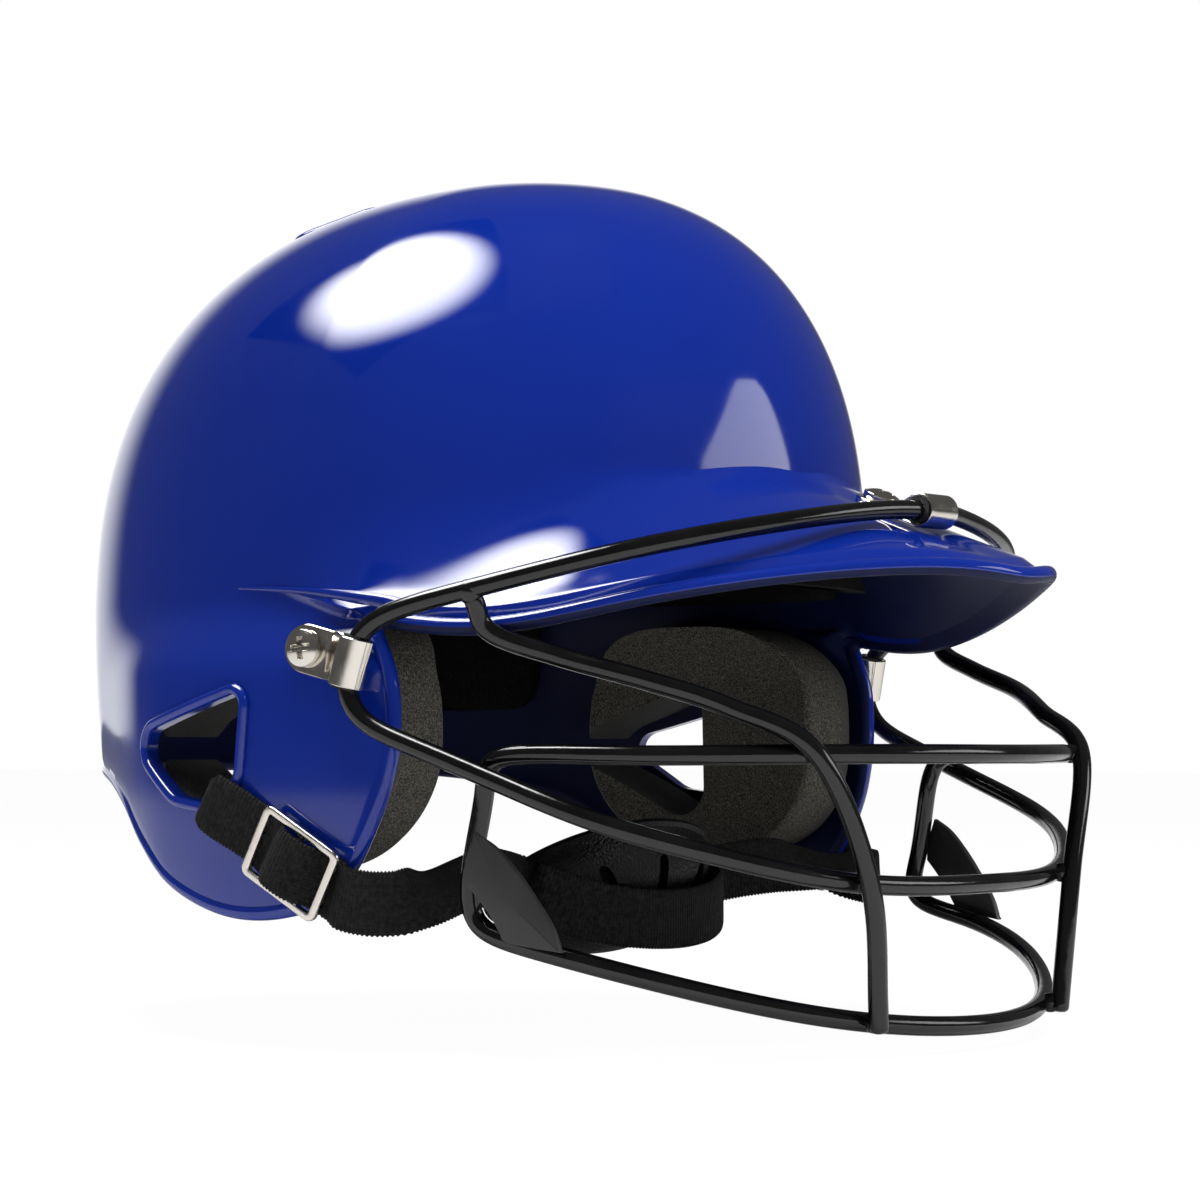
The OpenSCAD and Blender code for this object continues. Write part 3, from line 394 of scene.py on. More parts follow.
def dome_at(w, inset=0.0):
    """Dome above the flare: the height goes with a power of the sine, so the rows crowd at the crown."""
    top = dome_high - inset
    low = np.arcsin(((flare_z - waist_z) / top) ** (dome_power / 2))
    return head_at(a1, waist_z + top * np.sin(lerp(np.pi / 2, low, w)) ** (2 / dome_power), inset)


def all_round(p):
    """Rows of the right half carried on over the left half, back to the front middle."""
    return np.concatenate([p, mirrored(p[..., -2:0:-1, :])], -2)


def rgb(red, green, blue):
    """Colour as it shows on a screen, from 0 to 255, as the shader's light values."""
    c = np.array([red, green, blue]) / 255
    return (*np.where(c < 0.04045, c / 12.92, ((c + 0.055) / 1.055) ** 2.4), 1.0)


def new_finish(name, colour, roughness, metal=0.0, ior=1.5, shine=0.5):
    """Finish with one Principled shader, whose plain values stand on its own sockets."""
    finish = bpy.data.materials.new(name)
    finish.use_nodes = True
    shader = finish.node_tree.nodes["Principled BSDF"]
    values = {"Base Color": colour, "Roughness": roughness, "Metallic": metal, "IOR": ior,
              "Specular IOR Level": shine}
    for socket, value in values.items():
        shader.inputs[socket].default_value = value
    return finish, finish.node_tree, shader


def grain(tree, scale, detail=2.0):
    """Cloudy pattern of that many features to the metre, on the object's own coordinates."""
    way = add_node(tree, "ShaderNodeTexCoord").outputs["Object"]
    cloud = add_node(tree, "ShaderNodeTexNoise", {"Vector": way, "Scale": scale, "Detail": detail})
    return cloud.outputs["Fac"]


def tint(tree, shader, pattern, low, high, dark, light):
    """Colour that goes from dark to light as the pattern goes from low to high."""
    share = add_node(tree, "ShaderNodeMapRange", {"Value": pattern, "From Min": low, "From Max": high})
    mix = add_node(tree, "ShaderNodeMix", {0: share.outputs[0], 6: dark, 7: light}, data_type="RGBA")
    tree.links.new(mix.outputs[2], shader.inputs["Base Color"])
    return mix.outputs[2]


def gloss_by(tree, shader, pattern, low, high):
    """Roughness between low and high, by the pattern."""
    rough = add_node(tree, "ShaderNodeMapRange", {"Value": pattern, "From Min": 0.3, "From Max": 0.7,
                                                  "To Min": low, "To Max": high})
    tree.links.new(rough.outputs[0], shader.inputs["Roughness"])


def raise_by(tree, shader, *patterns):
    """Bump of each pattern in turn: pattern, strength, height in metres."""
    under = None
    for pattern, strength, height in patterns:
        bump = add_node(tree, "ShaderNodeBump", {"Height": pattern, "Strength": strength,
                                                 "Distance": height})
        if under is not None:
            tree.links.new(under, bump.inputs["Normal"])
        under = bump.outputs["Normal"]
    tree.links.new(under, shader.inputs["Normal"])


blue_abs, tree, shader = new_finish("glossy blue ABS", rgb(12, 40, 138), 0.07)
tint(tree, shader, grain(tree, 9), 0.3, 0.7, rgb(11, 38, 134), rgb(13, 42, 142))
gloss_by(tree, shader, grain(tree, 40, 4), 0.05, 0.1)
raise_by(tree, shader, (grain(tree, 22, 1), 0.12, 0.0006), (grain(tree, 700, 1), 0.05, 0.00004))
# Inside finish: rougher than the outside, and its darker navy colour is painted shade on the inside and under
# the peak
inner_abs_painted_shade, tree, shader = new_finish("rough inside of the shell with painted shade", rgb(9, 18, 58), 0.55,
                                     shine=0.2)
tint(tree, shader, grain(tree, 14), 0.3, 0.7, rgb(8, 16, 52), rgb(11, 21, 66))
raise_by(tree, shader, (grain(tree, 900, 2), 0.15, 0.0001))

# Rolled lip round the lower edge: a round of 2.2 mm that turns from outside, under, to inside
top_row, rim_row, inner_row = skirt_at(0.0), skirt_at(1.0), in_skirt_at(1.0)
rim = lerp(rim_row + inner_row, top_row + rim_row, near3) / 2
rim_out = unit(lerp(unit(rim_row - inner_row), unit(top_row - rim_row), near3))
rim_round = all_round(rim)
rim_way = unit(np.roll(rim_round, -1, 0) - np.roll(rim_round, 1, 0))[:len(rim)]
lip_x = unit(rim_out - dot(rim_out, rim_way) * rim_way)
lip_y = np.cross(rim_way, lip_x)
lip_r = wall / 2 + 0.6


def lip_at(share):
    """Round of the lip from its start on the outer face, at 0, to its end on the inner face, at 1."""
    turn = np.radians(lerp(lerp(-40, -75, near3), 220, share))
    return rim + lip_y * wall / 2 + lip_r * (np.cos(turn) * lip_x - np.sin(turn) * lip_y)


above_lip = 1 - 1.1 * lip_r / np.maximum(8, np.linalg.norm(top_row - rim_row, axis=1))
brim_share = 0.93
dome_rows = [dome_at(w) for w in np.linspace(0.012, 1, 44)[:-1]]
flare_rows = [flare_at((1 - (1 - v) ** 1.7) * lerp(1, brim_share, near)) for v in np.linspace(0, 1, 28)[:-1]]
brim = flare_at(np.full(len(a1), brim_share))
skirt_rows = [lerp(skirt_at(above_lip * v ** 1.7), lerp(brim, lip_at(0), v), near3)
              for v in np.linspace(0, 1, 34)[:-1]]
lip_rows = [lip_at(share) for share in np.linspace(0, 1, 17)]
inside_rows = ([in_skirt_at(above_lip * v) for v in np.linspace(1, 0, 13)[1:]]
               + [in_flare_at(v * lerp(1, 0.87, near)) for v in np.linspace(1, 0, 13)[1:]]
               + [dome_at(w, wall) for w in np.linspace(1, 0.012, 20)[1:]])
shell_grid = np.array(dome_rows + flare_rows + skirt_rows + lip_rows + inside_rows)
# The rows beside the ridge are evened out four times, which rounds it
ridge = len(dome_rows) + len(flare_rows)
for _ in range(4):
    band = shell_grid[ridge - 5:ridge + 6]
    shell_grid[ridge - 4:ridge + 5] = (band[:-2] + 2 * band[1:-1] + band[2:]) / 4
# The inside of the shell, from the middle of the lip on, and with it the peak's underside, has the unpolished
# finish, whose darker navy colour is painted shade
outer_rows = len(dome_rows + flare_rows + skirt_rows) + 9
shell = surface("shell_moulding", all_round(shell_grid))
inside = np.zeros(len(shell.data.polygons), int)
columns_round = 2 * (len(a1) - 1)
inside[outer_rows * columns_round:] = 1
inside[-2 * columns_round:-columns_round] = 0
shell.data.materials.append(blue_abs)
shell.data.materials.append(inner_abs_painted_shade)
shell.data.polygons.foreach_set("material_index", inside)


def side_x(y, z, inset=0.0):
    """Distance of the outer face from the middle plane beside the head, by place along and up."""
    along = y - mid_y + lean * head_size(z, inset)[0]
    behind = along > 0
    power = outline_power(behind, z)
    a = np.degrees(np.arctan2(half_width, -along))
    return (head_half_width(a, z, inset)
            * (1 - (np.abs(along) / head_reach(behind, z, inset)) ** power) ** (1 / power))


# Corner circles of the ear hole and of the ear pad's opening: place along and up the flap, and radius
ear_hole = np.array([[72.8, 0.3, 5], [41.8, 11, 2.8], [45.5, -4.5, 5], [50, -7.5, 6.4], [60, -2, 10.5]])
pad_hole = np.array([[72, 0.5, 2.5], [46.5, 11, 2], [47, -3.5, 2], [47.5, -11.5, 3.5]])


def ear_outline(circles, grow, count):
    """Outline of the hull of the circles, grown, as evenly spaced points: in each direction the
    furthest circle gives the point."""
    turn = np.linspace(0, 2 * np.pi, 1441)
    ways = np.column_stack([np.cos(turn), np.sin(turn)])
    furthest = np.argmax(ways @ circles[:, :2].T + circles[:, 2], 1)
    p = circles[furthest, :2] + ways * (circles[furthest, 2:] + grow)
    length = np.concatenate([[0], np.cumsum(np.linalg.norm(np.diff(p, axis=0), axis=1))])
    at = np.linspace(0, length[-1], count, endpoint=False)
    return np.column_stack([np.interp(at, length, p[:, 0]), np.interp(at, length, p[:, 1])])


def ear_prism(circles, grow, x_from, x_to):
    """Straight plug with that outline, across one flap."""
    flat = ear_outline(circles, grow, 96)
    ends = np.array([x_from, (x_from + x_to) / 2, x_to])
    x = np.repeat(ends[:, None], 96, 1)
    return surface("plug", np.stack([x, flat[:, 0] + 0 * x, flat[:, 1] + 0 * x], -1))


vent_long, vent_wide, vent_from = 15, 6, 49


def crown_z(x, y):
    """Height of the dome over a place in plan, behind the head's middle; the lean is worked in by turns."""
    rise = np.zeros_like(x)
    for _ in range(12):
        along = np.abs(y - mid_y + lean * rise) / reach_back
        share = ((np.abs(x) / half_width) ** back_power + along ** back_power) ** (1 / back_power)
        rise = np.maximum(0, 1 - share ** dome_power) ** (1 / dome_power)
    return waist_z + dome_high * rise


def vent_ring(turn, grow, count):
    """Outline of a vent slot in plan: two half rounds of that radius round the ends of its middle line."""
    way = np.array([-np.sin(np.radians(turn)), np.cos(np.radians(turn))])
    t = np.linspace(0, 2 * np.pi, count, endpoint=False)
    end = np.where(np.cos(t) > 0, vent_from + vent_long, vent_from)[:, None]
    return (np.array([0, mid_y]) + way * end
            + grow * (np.cos(t)[:, None] * way + np.sin(t)[:, None] * np.array([way[1], -way[0]])))


vent_turns = (-36, -18, 0, 18, 36)
plugs = [ear_prism(ear_hole, 0, s * 132, s * 87) for s in (1, -1)]
for turn in vent_turns:
    flat = vent_ring(turn, vent_wide / 2, 40)
    levels = [np.column_stack([flat, crown_z(*flat.T) + lift]) for lift in (-9, -2, 5)]
    plugs.append(surface("plug", np.array(levels)))
cut(shell, plugs, 38)

# Rolled lip round each ear hole: a round of 1.5 mm half sunk in the flap
both_sides = (("right", 1), ("left", -1))
ear_lip_r = 1.5
flat = ear_outline(ear_hole, ear_lip_r, 160)
along = unit(np.roll(flat, -1, 0) - np.roll(flat, 1, 0))
off_hole = np.column_stack([np.zeros(160), along[:, 1], -along[:, 0]])
turn = np.linspace(0, 2 * np.pi, 16, endpoint=False)[:, None, None]
middle = np.column_stack([-side_x(*flat.T) - 0.3, flat])
bead = middle + ear_lip_r * (np.cos(turn) * off_hole + np.sin(turn) * np.array([-1, 0, 0]))
ear_beads = [surface("ear_hole_lip_" + side_name, bead * [s, 1, 1], round_path=True)
             for side_name, s in both_sides]

# The peak's rolled lip runs on behind the temple as a bead that thins out along the ridge
ridge_line = np.array([[-106.2, -22, 33], [-106.8, -10, 34.6], [-107, -3, 36.4], [-107.6, 8, 38.2],
                       [-106, 27, 40.4], [-103.2, 51, 41.8], [-101, 60, 42.2]])
t = np.linspace(0, 4, 90)
ridge_path = passed(ridge_line, t)
bead_r = lerp(1.9, 0.3, ease(t / 4.4))
turn = np.linspace(0, 2 * np.pi, 16, endpoint=False)[:, None]
way = unit(np.gradient(ridge_path, axis=0))
up_way = unit(np.array([0, 0, 1.0]) - way[:, 2:] * way)
out_way = np.cross(way, up_way)
ridge_rings = (ridge_path[:, None] + bead_r[:, None, None] * (1.3 * np.cos(turn) * up_way[:, None]
                                                              + np.sin(turn) * out_way[:, None]))
ridge_beads = [surface("ridge_bead_" + side_name, ridge_rings * [s, 1, 1])
               for side_name, s in both_sides]

# Raised lip round each vent slot
vent_lips = []
for turn, name in zip(vent_turns, ("far_left", "left", "middle", "right", "far_right")):
    t = np.linspace(0, 2 * np.pi, 12, endpoint=False)
    rings = []
    for f in t:
        flat = vent_ring(turn, vent_wide / 2 + 0.85 + 1.05 * np.cos(f), 64)
        rings.append(np.column_stack([flat, crown_z(*flat.T) + 0.2 + 0.75 * np.sin(f)]))
    vent_lips.append(surface("vent_lip_" + name, np.array(rings), round_path=True))

for piece in [shell] + ear_beads + ridge_beads + vent_lips:
    if piece is not shell:
        piece.data.materials.append(blue_abs)
    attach(piece, "helmet")
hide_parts("shell")

# Lining pads: blocks of closed-cell foam glued to the inside of the shell at the forehead, temples,
# back and crown. The ear pads are thicker, of two layers, each cut out behind the ear hole.
pad_gap, pad_thick, ear_pad_thick = 1.1, 13, 24


def cells(tree, scale):
    """Pattern of round cells, that many to the metre: the distance from each cell's middle."""
    way = add_node(tree, "ShaderNodeTexCoord").outputs["Object"]
    return add_node(tree, "ShaderNodeTexVoronoi", {"Vector": way, "Scale": scale}).outputs["Distance"]


def own_map(tree):
    """The piece's own map, parted: millimetres in X and Y."""
    return add_node(tree, "ShaderNodeSeparateXYZ", {0: add_node(tree, "ShaderNodeTexCoord").outputs["UV"]})


# Lining foam: charcoal, and darkened further as painted shade of the helmet's inside
foam, tree, shader = new_finish("charcoal lining foam darkened as painted shade", rgb(15, 15, 16), 0.95, shine=0.08)
tint(tree, shader, grain(tree, 1400, 3), 0.35, 0.7, rgb(8, 8, 9), rgb(24, 24, 25))
raise_by(tree, shader, (cells(tree, 1100), 0.5, 0.0004), (grain(tree, 300, 3), 0.3, 0.0005))
ear_foam, tree, shader = new_finish("two-layer ear foam", rgb(66, 65, 61), 0.95, shine=0.15)
specks = tint(tree, shader, grain(tree, 2200, 3), 0.4, 0.75, rgb(50, 49, 46), rgb(118, 115, 106))
# The layer against the shell, 6 mm thick, is smooth
smooth_layer = add_node(tree, "ShaderNodeMapRange", {"Value": own_map(tree).outputs["Y"], "From Min": 6.2,
                                                     "From Max": 5.8})
two = add_node(tree, "ShaderNodeMix", {0: smooth_layer.outputs[0], 6: specks, 7: rgb(72, 72, 70)},
               data_type="RGBA")
tree.links.new(two.outputs[2], shader.inputs["Base Color"])
raise_by(tree, shader, (cells(tree, 900), 0.7, 0.0005), (grain(tree, 250, 3), 0.4, 0.0007))


def pad_fall(f):
    """How full the pad is across it: flat in the middle, drawn in at both edges."""
    return (1 - np.abs(2 * f - 1) ** 4) ** 0.5


def pad_cols(a):
    """Points across a pad: more for one that spans most of a side."""
    return 96 if abs(a[1] - a[0]) > 100 else 56


def lining_pad(name, a, z, clear=pad_gap):
    """Block between two angles and two heights: the full face, and the face that far off the shell."""
    f, g = np.linspace(0, 1, pad_cols(a)), (1 - np.cos(np.linspace(0, np.pi, 40))) / 2
    full = pad_fall(np.linspace(0, 1, 40))[:, None]
    angle = (a[0] + a[1]) / 2 + (a[1] - a[0]) / 2 * lerp(0.8, 1, full) * (2 * f - 1)
    height = lerp(z[0], z[1], g)[:, None] + 0 * angle
    depth = pad_thick * lerp(0.35, 1, full * pad_fall(f))
    top = head_at(angle, height, wall + clear + depth)
    base = head_at(angle, height, wall + clear)
    side_steps = np.linspace(0, 1, 5)[1:-1, None, None]
    near_edge = lerp(top[:, -1], base[:, -1], side_steps)
    far_edge = lerp(base[:, 0], top[:, 0], side_steps)
    points = np.concatenate([top, near_edge.transpose(1, 0, 2), base[:, ::-1],
                             far_edge.transpose(1, 0, 2)], 1)
    return surface(name, points, sharp=45)


def finish_pad(piece, finish, node):
    """Gives a pad its finish, attaches it to what it rides, and hides the node it stands for."""
    piece.data.materials.clear()
    piece.data.materials.append(finish)
    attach(piece, "helmet")
    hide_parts(node)


finish_pad(lining_pad("forehead_foam", (-48, 48), (44, 84), 0.8), foam, "pad_front")
finish_pad(lining_pad("nape_foam", (128, 232), (12, 84)), foam, "pad_back")
finish_pad(lining_pad("temple_foam_right", (64, 116), (44, 90)), foam, "pad_side_right")
finish_pad(lining_pad("temple_foam_left", (-64, -116), (44, 90)), foam, "pad_side_left")
crown_r = 42
crown_a = np.linspace(0, 360, 73)[:-1]


def crown_ring(radius, inset):
    """Ring of the dome's inner face at that radius in plan: its height is where the outline is that wide."""
    z = np.linspace(waist_z + dome_high - inset - 1e-3, waist_z, 500)
    low_r = np.linalg.norm((head_at(crown_a[:, None], z, inset) - [0, mid_y, 0])[..., :2], axis=-1)
    at = np.array([np.interp(radius, row, z) for row in low_r])
    return head_at(crown_a, at, inset)


steps = np.linspace(0.06, 1, 14)
crown_rings = [crown_ring(crown_r * s, wall + pad_gap) for s in steps]
crown_rings += [crown_ring(crown_r * s, wall + pad_gap + pad_thick * lerp(0.35, 1, (1 - s ** 4) ** 0.5))
                for s in steps[::-1]]
finish_pad(surface("crown_foam", np.array(crown_rings), sharp=45), foam, "pad_crown")
ear_pad_mid, ear_pad_half, ear_pad_round = np.array([38.5, 2.5]), np.array([40.5, 34]), 3.0


def ear_block(name, s):
    """Upright block on the flap's inside. Seen from the side its outline is a squarish oval, fuller above
    its middle, and each level section is a rectangle with round corners that follows the flap."""
    rise = np.cos(np.linspace(np.pi - 0.05, 0.05, 90))
    power = np.where(rise > 0, 3.0, 2.2)
    long = ear_pad_half[0] * (1 - np.abs(rise) ** power) ** (1 / power)
    draw = np.minimum(ear_pad_round, long * 0.3)[:, None]
    turn = np.radians(np.linspace(0, 90, 7))
    cosine, sine = np.cos(turn), np.sin(turn)
    run = np.linspace(-1, 1, 40)[1:-1]
    flat = 0 * run
    span = np.concatenate([np.ones(7), -run, -np.ones(14), run, np.ones(7)])
    corner_y = np.concatenate([cosine - 1, flat, 1 - cosine[::-1], 1 - cosine, flat, cosine[::-1] - 1])
    corner_x = np.concatenate([sine - 1, flat, sine[::-1] - 1, 1 - sine, flat, 1 - sine[::-1]])
    deep = np.repeat([1.0, 0.0], 14 + len(run))
    y = ear_pad_mid[0] + long[:, None] * span + draw * corner_y
    depth = ear_pad_thick * deep + ear_pad_round * corner_x + 0 * y
    z = ear_pad_mid[1] + ear_pad_half[1] * rise[:, None] + 0 * y
    x = -(side_x(y, z, wall + pad_gap + 0.3) - depth)
    uv = np.stack([y, depth], -1)
    return surface(name, np.stack([x, y, z], -1) * [s, 1, 1], uv=uv, sharp=40)


for side_name, s in both_sides:
    piece = ear_block("ear_foam_" + side_name, s)
    cut(piece, [ear_prism(pad_hole, 5, -40 * s, -140 * s)], 40)
    finish_pad(piece, ear_foam, "ear_pad_" + side_name)

# Face guard: mild steel wire of 5 mm, bent into two closed loops with two upright bars welded over their
# fronts, then dipped in black vinyl that fills the welds' corners.
wire_r = 2.5
sleeve_wall, band_thick, clip_reach = 1.0, 1.0, 15.8
clip_gap, front_lift, side_lift = 0.3, 0.4, 1.4
ring_r = wire_r + sleeve_wall + band_thick
stand = ring_r + clip_gap
guard_reach, guard_drop, weld_gap = 111, 70, 0.15


def on_flap(y, z):
    """Point of a flap's outer face at that place: the columns' points at height z, read off at y."""
    columns = slice(peak_columns, peak_columns + side_columns // 2 + 1)
    share = np.clip((z1 - z) / (z1 - z2), 0, 1)
    at_z = skirt_at(share)[columns]
    return np.array([np.interp(y, at_z[:, 1], at_z[:, 0]), y, z])


foot = on_flap(0.75, 21)
ahead = on_flap(0.75 + clip_reach, 21 + clip_reach * 0.13)
side_run = unit(np.array([(ahead[0] - foot[0]) / clip_reach, 1, 0.26]))
outward = unit(np.array([-1, 0, 0]) + side_run[0] * side_run)
tilt = np.radians(5)
side_out = np.cos(tilt) * outward + np.sin(tilt) * np.cross(side_run, outward)
side_wire = foot + side_out * (stand + side_lift)
brow_line = np.array([flare_at(v)[0] for v in np.linspace(0, 1, 400)])


def on_peak(y):
    """Point of the peak's top in the middle plane, at that place along."""
    return np.array([0, y, np.interp(-y, -brow_line[:, 1], brow_line[:, 2])])


front_foot = on_peak(mid_y - peak_reach * 0.8)
front_run = unit(on_peak(front_foot[1] + clip_reach) - front_foot)
front_out = np.cross(front_run, [-1, 0, 0])
front_wire = front_foot + front_out * (stand + front_lift)
guard_size = np.array([side_wire[0], guard_reach, guard_drop])

# Points that pull the right half of each loop, given as distances from the clips' wires near the clips and
# elsewhere as shares of the guard's half width, reach and drop
upper = np.concatenate([
    front_wire + [[14, 2.7, 0.3], [0, -1.8, -0.2], [-14, 2.7, 0.3], [-50, 7.2, -4.2]],
    side_wire + [[26.8, -65.8, 27.5], [5.3, -31.8, 17], [0.6, -5.7, 12], [0, 2.3, 0.5], [-0.7, 0.1, -14],
                 [3.3, -17.2, -20.5]],
    guard_size * [[0.925, -0.374, -0.121], [0.895, -0.604, -0.257], [0.72, -0.784, -0.364],
                  [0.413, -0.955, -0.493], [0, -1.022, -0.486], [-0.413, -0.955, -0.493]]])
lower = guard_size * [[-0.507, -0.959, -0.014], [0, -1.126, -0.021], [0.507, -0.959, -0.014],
                      [0.823, -0.581, -0.029], [0.899, -0.297, 0], [0.861, -0.279, -0.129],
                      [0.887, -0.243, -0.443], [0.848, -0.216, -0.636], [0.87, -0.392, -0.686],
                      [0.759, -0.658, -0.8], [0.43, -0.923, -0.964], [0, -1.058, -1.007],
                      [-0.43, -0.923, -0.964]]


def heading(path, round_path):
    """Way of a path at each of its points."""
    step = np.roll(path, -1, 0) - np.roll(path, 1, 0) if round_path else np.gradient(path, axis=0)
    return unit(step)


def wire(name, path, round_path, radius=wire_r, sides=20):
    """Circle carried along a path: each ring lies square to it, and starts on the side away from the head."""
    way = heading(path, round_path)
    away = path - [0, mid_y, 20]
    x = unit(away - dot(away, way) * way)
    y = np.cross(way, x)
    t = np.linspace(0, 2 * np.pi, sides, endpoint=False)[:, None]
    size = np.broadcast_to(radius, len(path))[:, None, None]
    rings = path[:, None] + size * (np.cos(t) * x[:, None] + np.sin(t) * y[:, None])
    return surface(name, rings, round_path=round_path)


def both_halves(k, spans, count):
    """Closed loop from the points that pull its right half, between two points on the middle plane."""
    half = pulled(k, np.linspace(0, spans, count))
    return np.concatenate([half, mirrored(half[-2:0:-1])])


def round_ended(path, radius=wire_r):
    """The path with its ends drawn out to half balls: more points, and the radius at every point."""
    turn = np.radians([6, 20, 36, 54, 72])
    start, stop = unit(path[0] - path[1]), unit(path[-1] - path[-2])
    reach = 0.6 * radius * np.cos(turn)[:, None]
    longer = np.concatenate([path[0] + start * reach, path, path[-1] + stop * reach[::-1]])
    ends = radius * np.sin(turn) ** 0.7
    return longer, np.concatenate([ends, np.full(len(path), radius), ends[::-1]])


def bar_at(k, share, t):
    """Place on a loop at that share of its half width, and the way out of it, level."""
    path = pulled(k, t)
    order = np.argsort(path[:, 0])
    at = np.interp(share * side_wire[0], path[order, 0], t[order])
    here, before, after = pulled(k, np.array([at, at - 0.01, at + 0.01]))
    out = unit(np.cross(after - before, [0, 0, 1]))
    return here, -np.sign(out[1]) * out


upper_loop = wire("upper_wire_loop", both_halves(upper, 13, 300), True)
lower_loop = wire("lower_wire_loop", both_halves(lower, 10, 300), True)
weld = pulled(upper, np.array([4.05]))[0]
bend = guard_size * [[0.891, -0.311, 0.407], [0.827, -0.45, 0.321], [0.746, -0.626, 0.236],
                     [0.639, -0.766, 0.143]]
crossings = [bar_at(lower, 0.52, np.linspace(0, 2, 80)), bar_at(upper, 0.405, np.linspace(10, 13, 80)),
             bar_at(lower, 0.358, np.linspace(7, 10, 80))]
over = np.array([at + (2 * wire_r + weld_gap) * out for at, out in crossings])
upright = np.concatenate([[weld + unit(bend[0] - weld) * (wire_r + 2 * weld_gap)], bend, over])
upright = np.concatenate([2 * upright[:1] - upright[1:2], upright, 2 * upright[-1:] - upright[-2:-1]])
bar = passed(upright, np.linspace(0, 7, 120))
bar = np.concatenate([bar, bar[-1:] + unit(bar[-1] - bar[-2]) * wire_r * 0.4])
bar_path, bar_radius = round_ended(bar)
uprights = [wire("upright_wire_right", bar_path, False, bar_radius),
            wire("upright_wire_left", mirrored(bar_path), False, bar_radius)]


def weld_bead(name, middle, along, across, size):
    """Lump of coating that fills a weld's corner: an egg, long along one way and thick along the next."""
    way = unit(along)
    out = unit(across - dot(across, way) * way)
    third = np.cross(way, out)
    turn = np.linspace(0.08, np.pi - 0.08, 14)[:, None, None]
    t = np.linspace(0, 2 * np.pi, 20, endpoint=False)[None, :, None]
    egg = middle + size[0] * np.cos(turn) * way + np.sin(turn) * (size[1] * np.cos(t) * out
                                                                 + size[2] * np.sin(t) * third)
    return surface(name, egg)


beads = []
for side_name, s in both_sides:
    for (at, out), by, name in zip(crossings, over, ("nose", "middle", "jaw")):
        middle = (at + by) / 2
        beads.append(weld_bead(f"weld_{name}_{side_name}", middle * [s, 1, 1], np.array([0, 0, 1.0]),
                               out * [s, 1, 1], (2.6, 3.2, 2.2)))
    beads.append(weld_bead("weld_top_" + side_name, (weld + (bend[0] - weld) * 0.07) * [s, 1, 1],
                           (bend[0] - weld) * [s, 1, 1], np.array([0, 1.0, 0]), (3.4, 2.9, 2.9)))
coated, tree, shader = new_finish("black vinyl dip on the wire", rgb(9, 9, 10), 0.14)
tint(tree, shader, grain(tree, 60, 4), 0.35, 0.75, rgb(7, 7, 8), rgb(17, 17, 18))
gloss_by(tree, shader, grain(tree, 120, 5), 0.08, 0.18)
raise_by(tree, shader, (grain(tree, 160, 2), 0.25, 0.0004), (grain(tree, 2200, 2), 0.1, 0.00008))
for piece in [upper_loop, lower_loop] + uprights + beads:
    piece.data.materials.append(coated)
    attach(piece, "helmet")
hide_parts("guard_top_wire", "guard_middle_bar")
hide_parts("guard_nose_bar", "guard_jaw_bar")
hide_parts("guard_upright_right")
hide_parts("guard_upright_left")

# Jaw plates: leaves of 2 mm steel sheet, blanked, welded flat on the outside of the lower loop's corners
# and coated with it. Their edges are a little rounded.
plate_thick, plate_edge_r = 2, 0.45
plate_corner = guard_size * [0.88, -0.225, -0.679]
plate_turn = np.radians(9.5 - 180)
# Outline of the leaf: places ahead of and above the corner
leaf = np.array([[6, 27], [12, 23.5], [18.5, 17], [24, 10], [28, 4], [30, -1.5], [15.5, 0.5], [13, 3],
                 [10, 7.5], [6, 12], [3, 15], [3.5, 20.5]])


def leaf_edge():
    """Outline of the leaf through its points, smooth along each of its three edges between the corners."""
    runs = []
    for first, last in ((0, 5), (5, 10), (10, 12)):
        run = leaf[np.arange(first, last + 1) % len(leaf)]
        k = np.concatenate([2 * run[:1] - run[1:2], run, 2 * run[-1:] - run[-2:-1]])
        runs.append(passed(k, np.linspace(0, len(run) - 1, 10 * (len(run) - 1) + 1)[:-1]))
    return np.concatenate(runs)


def leaf_plate(name, s):
    """The outline at several depths: drawn in by the round of the edges at the first and last."""
    flat = leaf_edge()
    way = unit(np.roll(flat, -1, 0) - np.roll(flat, 1, 0))
    inward = np.column_stack([-way[:, 1], way[:, 0]])
    middle = flat.mean(0)
    inward *= np.sign(dot(inward, middle - flat))
    turn = np.radians([0, 30, 60, 90])
    sunk, drawn = plate_edge_r * (1 - np.cos(turn)), plate_edge_r * (1 - np.sin(turn))
    depth = np.concatenate([sunk, plate_thick - sunk[::-1]])
    draw = np.concatenate([drawn, drawn[::-1]])
    ahead_way = np.array([-np.sin(plate_turn), np.cos(plate_turn), 0])
    out_way = np.array([np.cos(plate_turn), np.sin(plate_turn), 0])
    outlines = flat + inward * draw[:, None, None]
    rows = (outlines[..., :1] * ahead_way + outlines[..., 1:] * [0, 0, 1] + out_way * depth[:, None, None]
            + plate_corner - [wire_r + weld_gap, 0, 0])
    return surface(name, rows * [s, 1, 1], sharp=40)


plate_black, tree, shader = new_finish("black coated sheet steel", rgb(46, 46, 47), 0.42, ior=1.45)
tint(tree, shader, grain(tree, 90, 3), 0.3, 0.7, rgb(43, 43, 44), rgb(52, 52, 53))
gloss_by(tree, shader, grain(tree, 200, 3), 0.34, 0.5)
raise_by(tree, shader, (grain(tree, 2600, 2), 0.2, 0.0001))
for side_name, s in both_sides:
    piece = leaf_plate("jaw_leaf_" + side_name, s)
    piece.data.materials.append(plate_black)
    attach(piece, "helmet")
    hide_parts("jaw_plate_" + side_name)

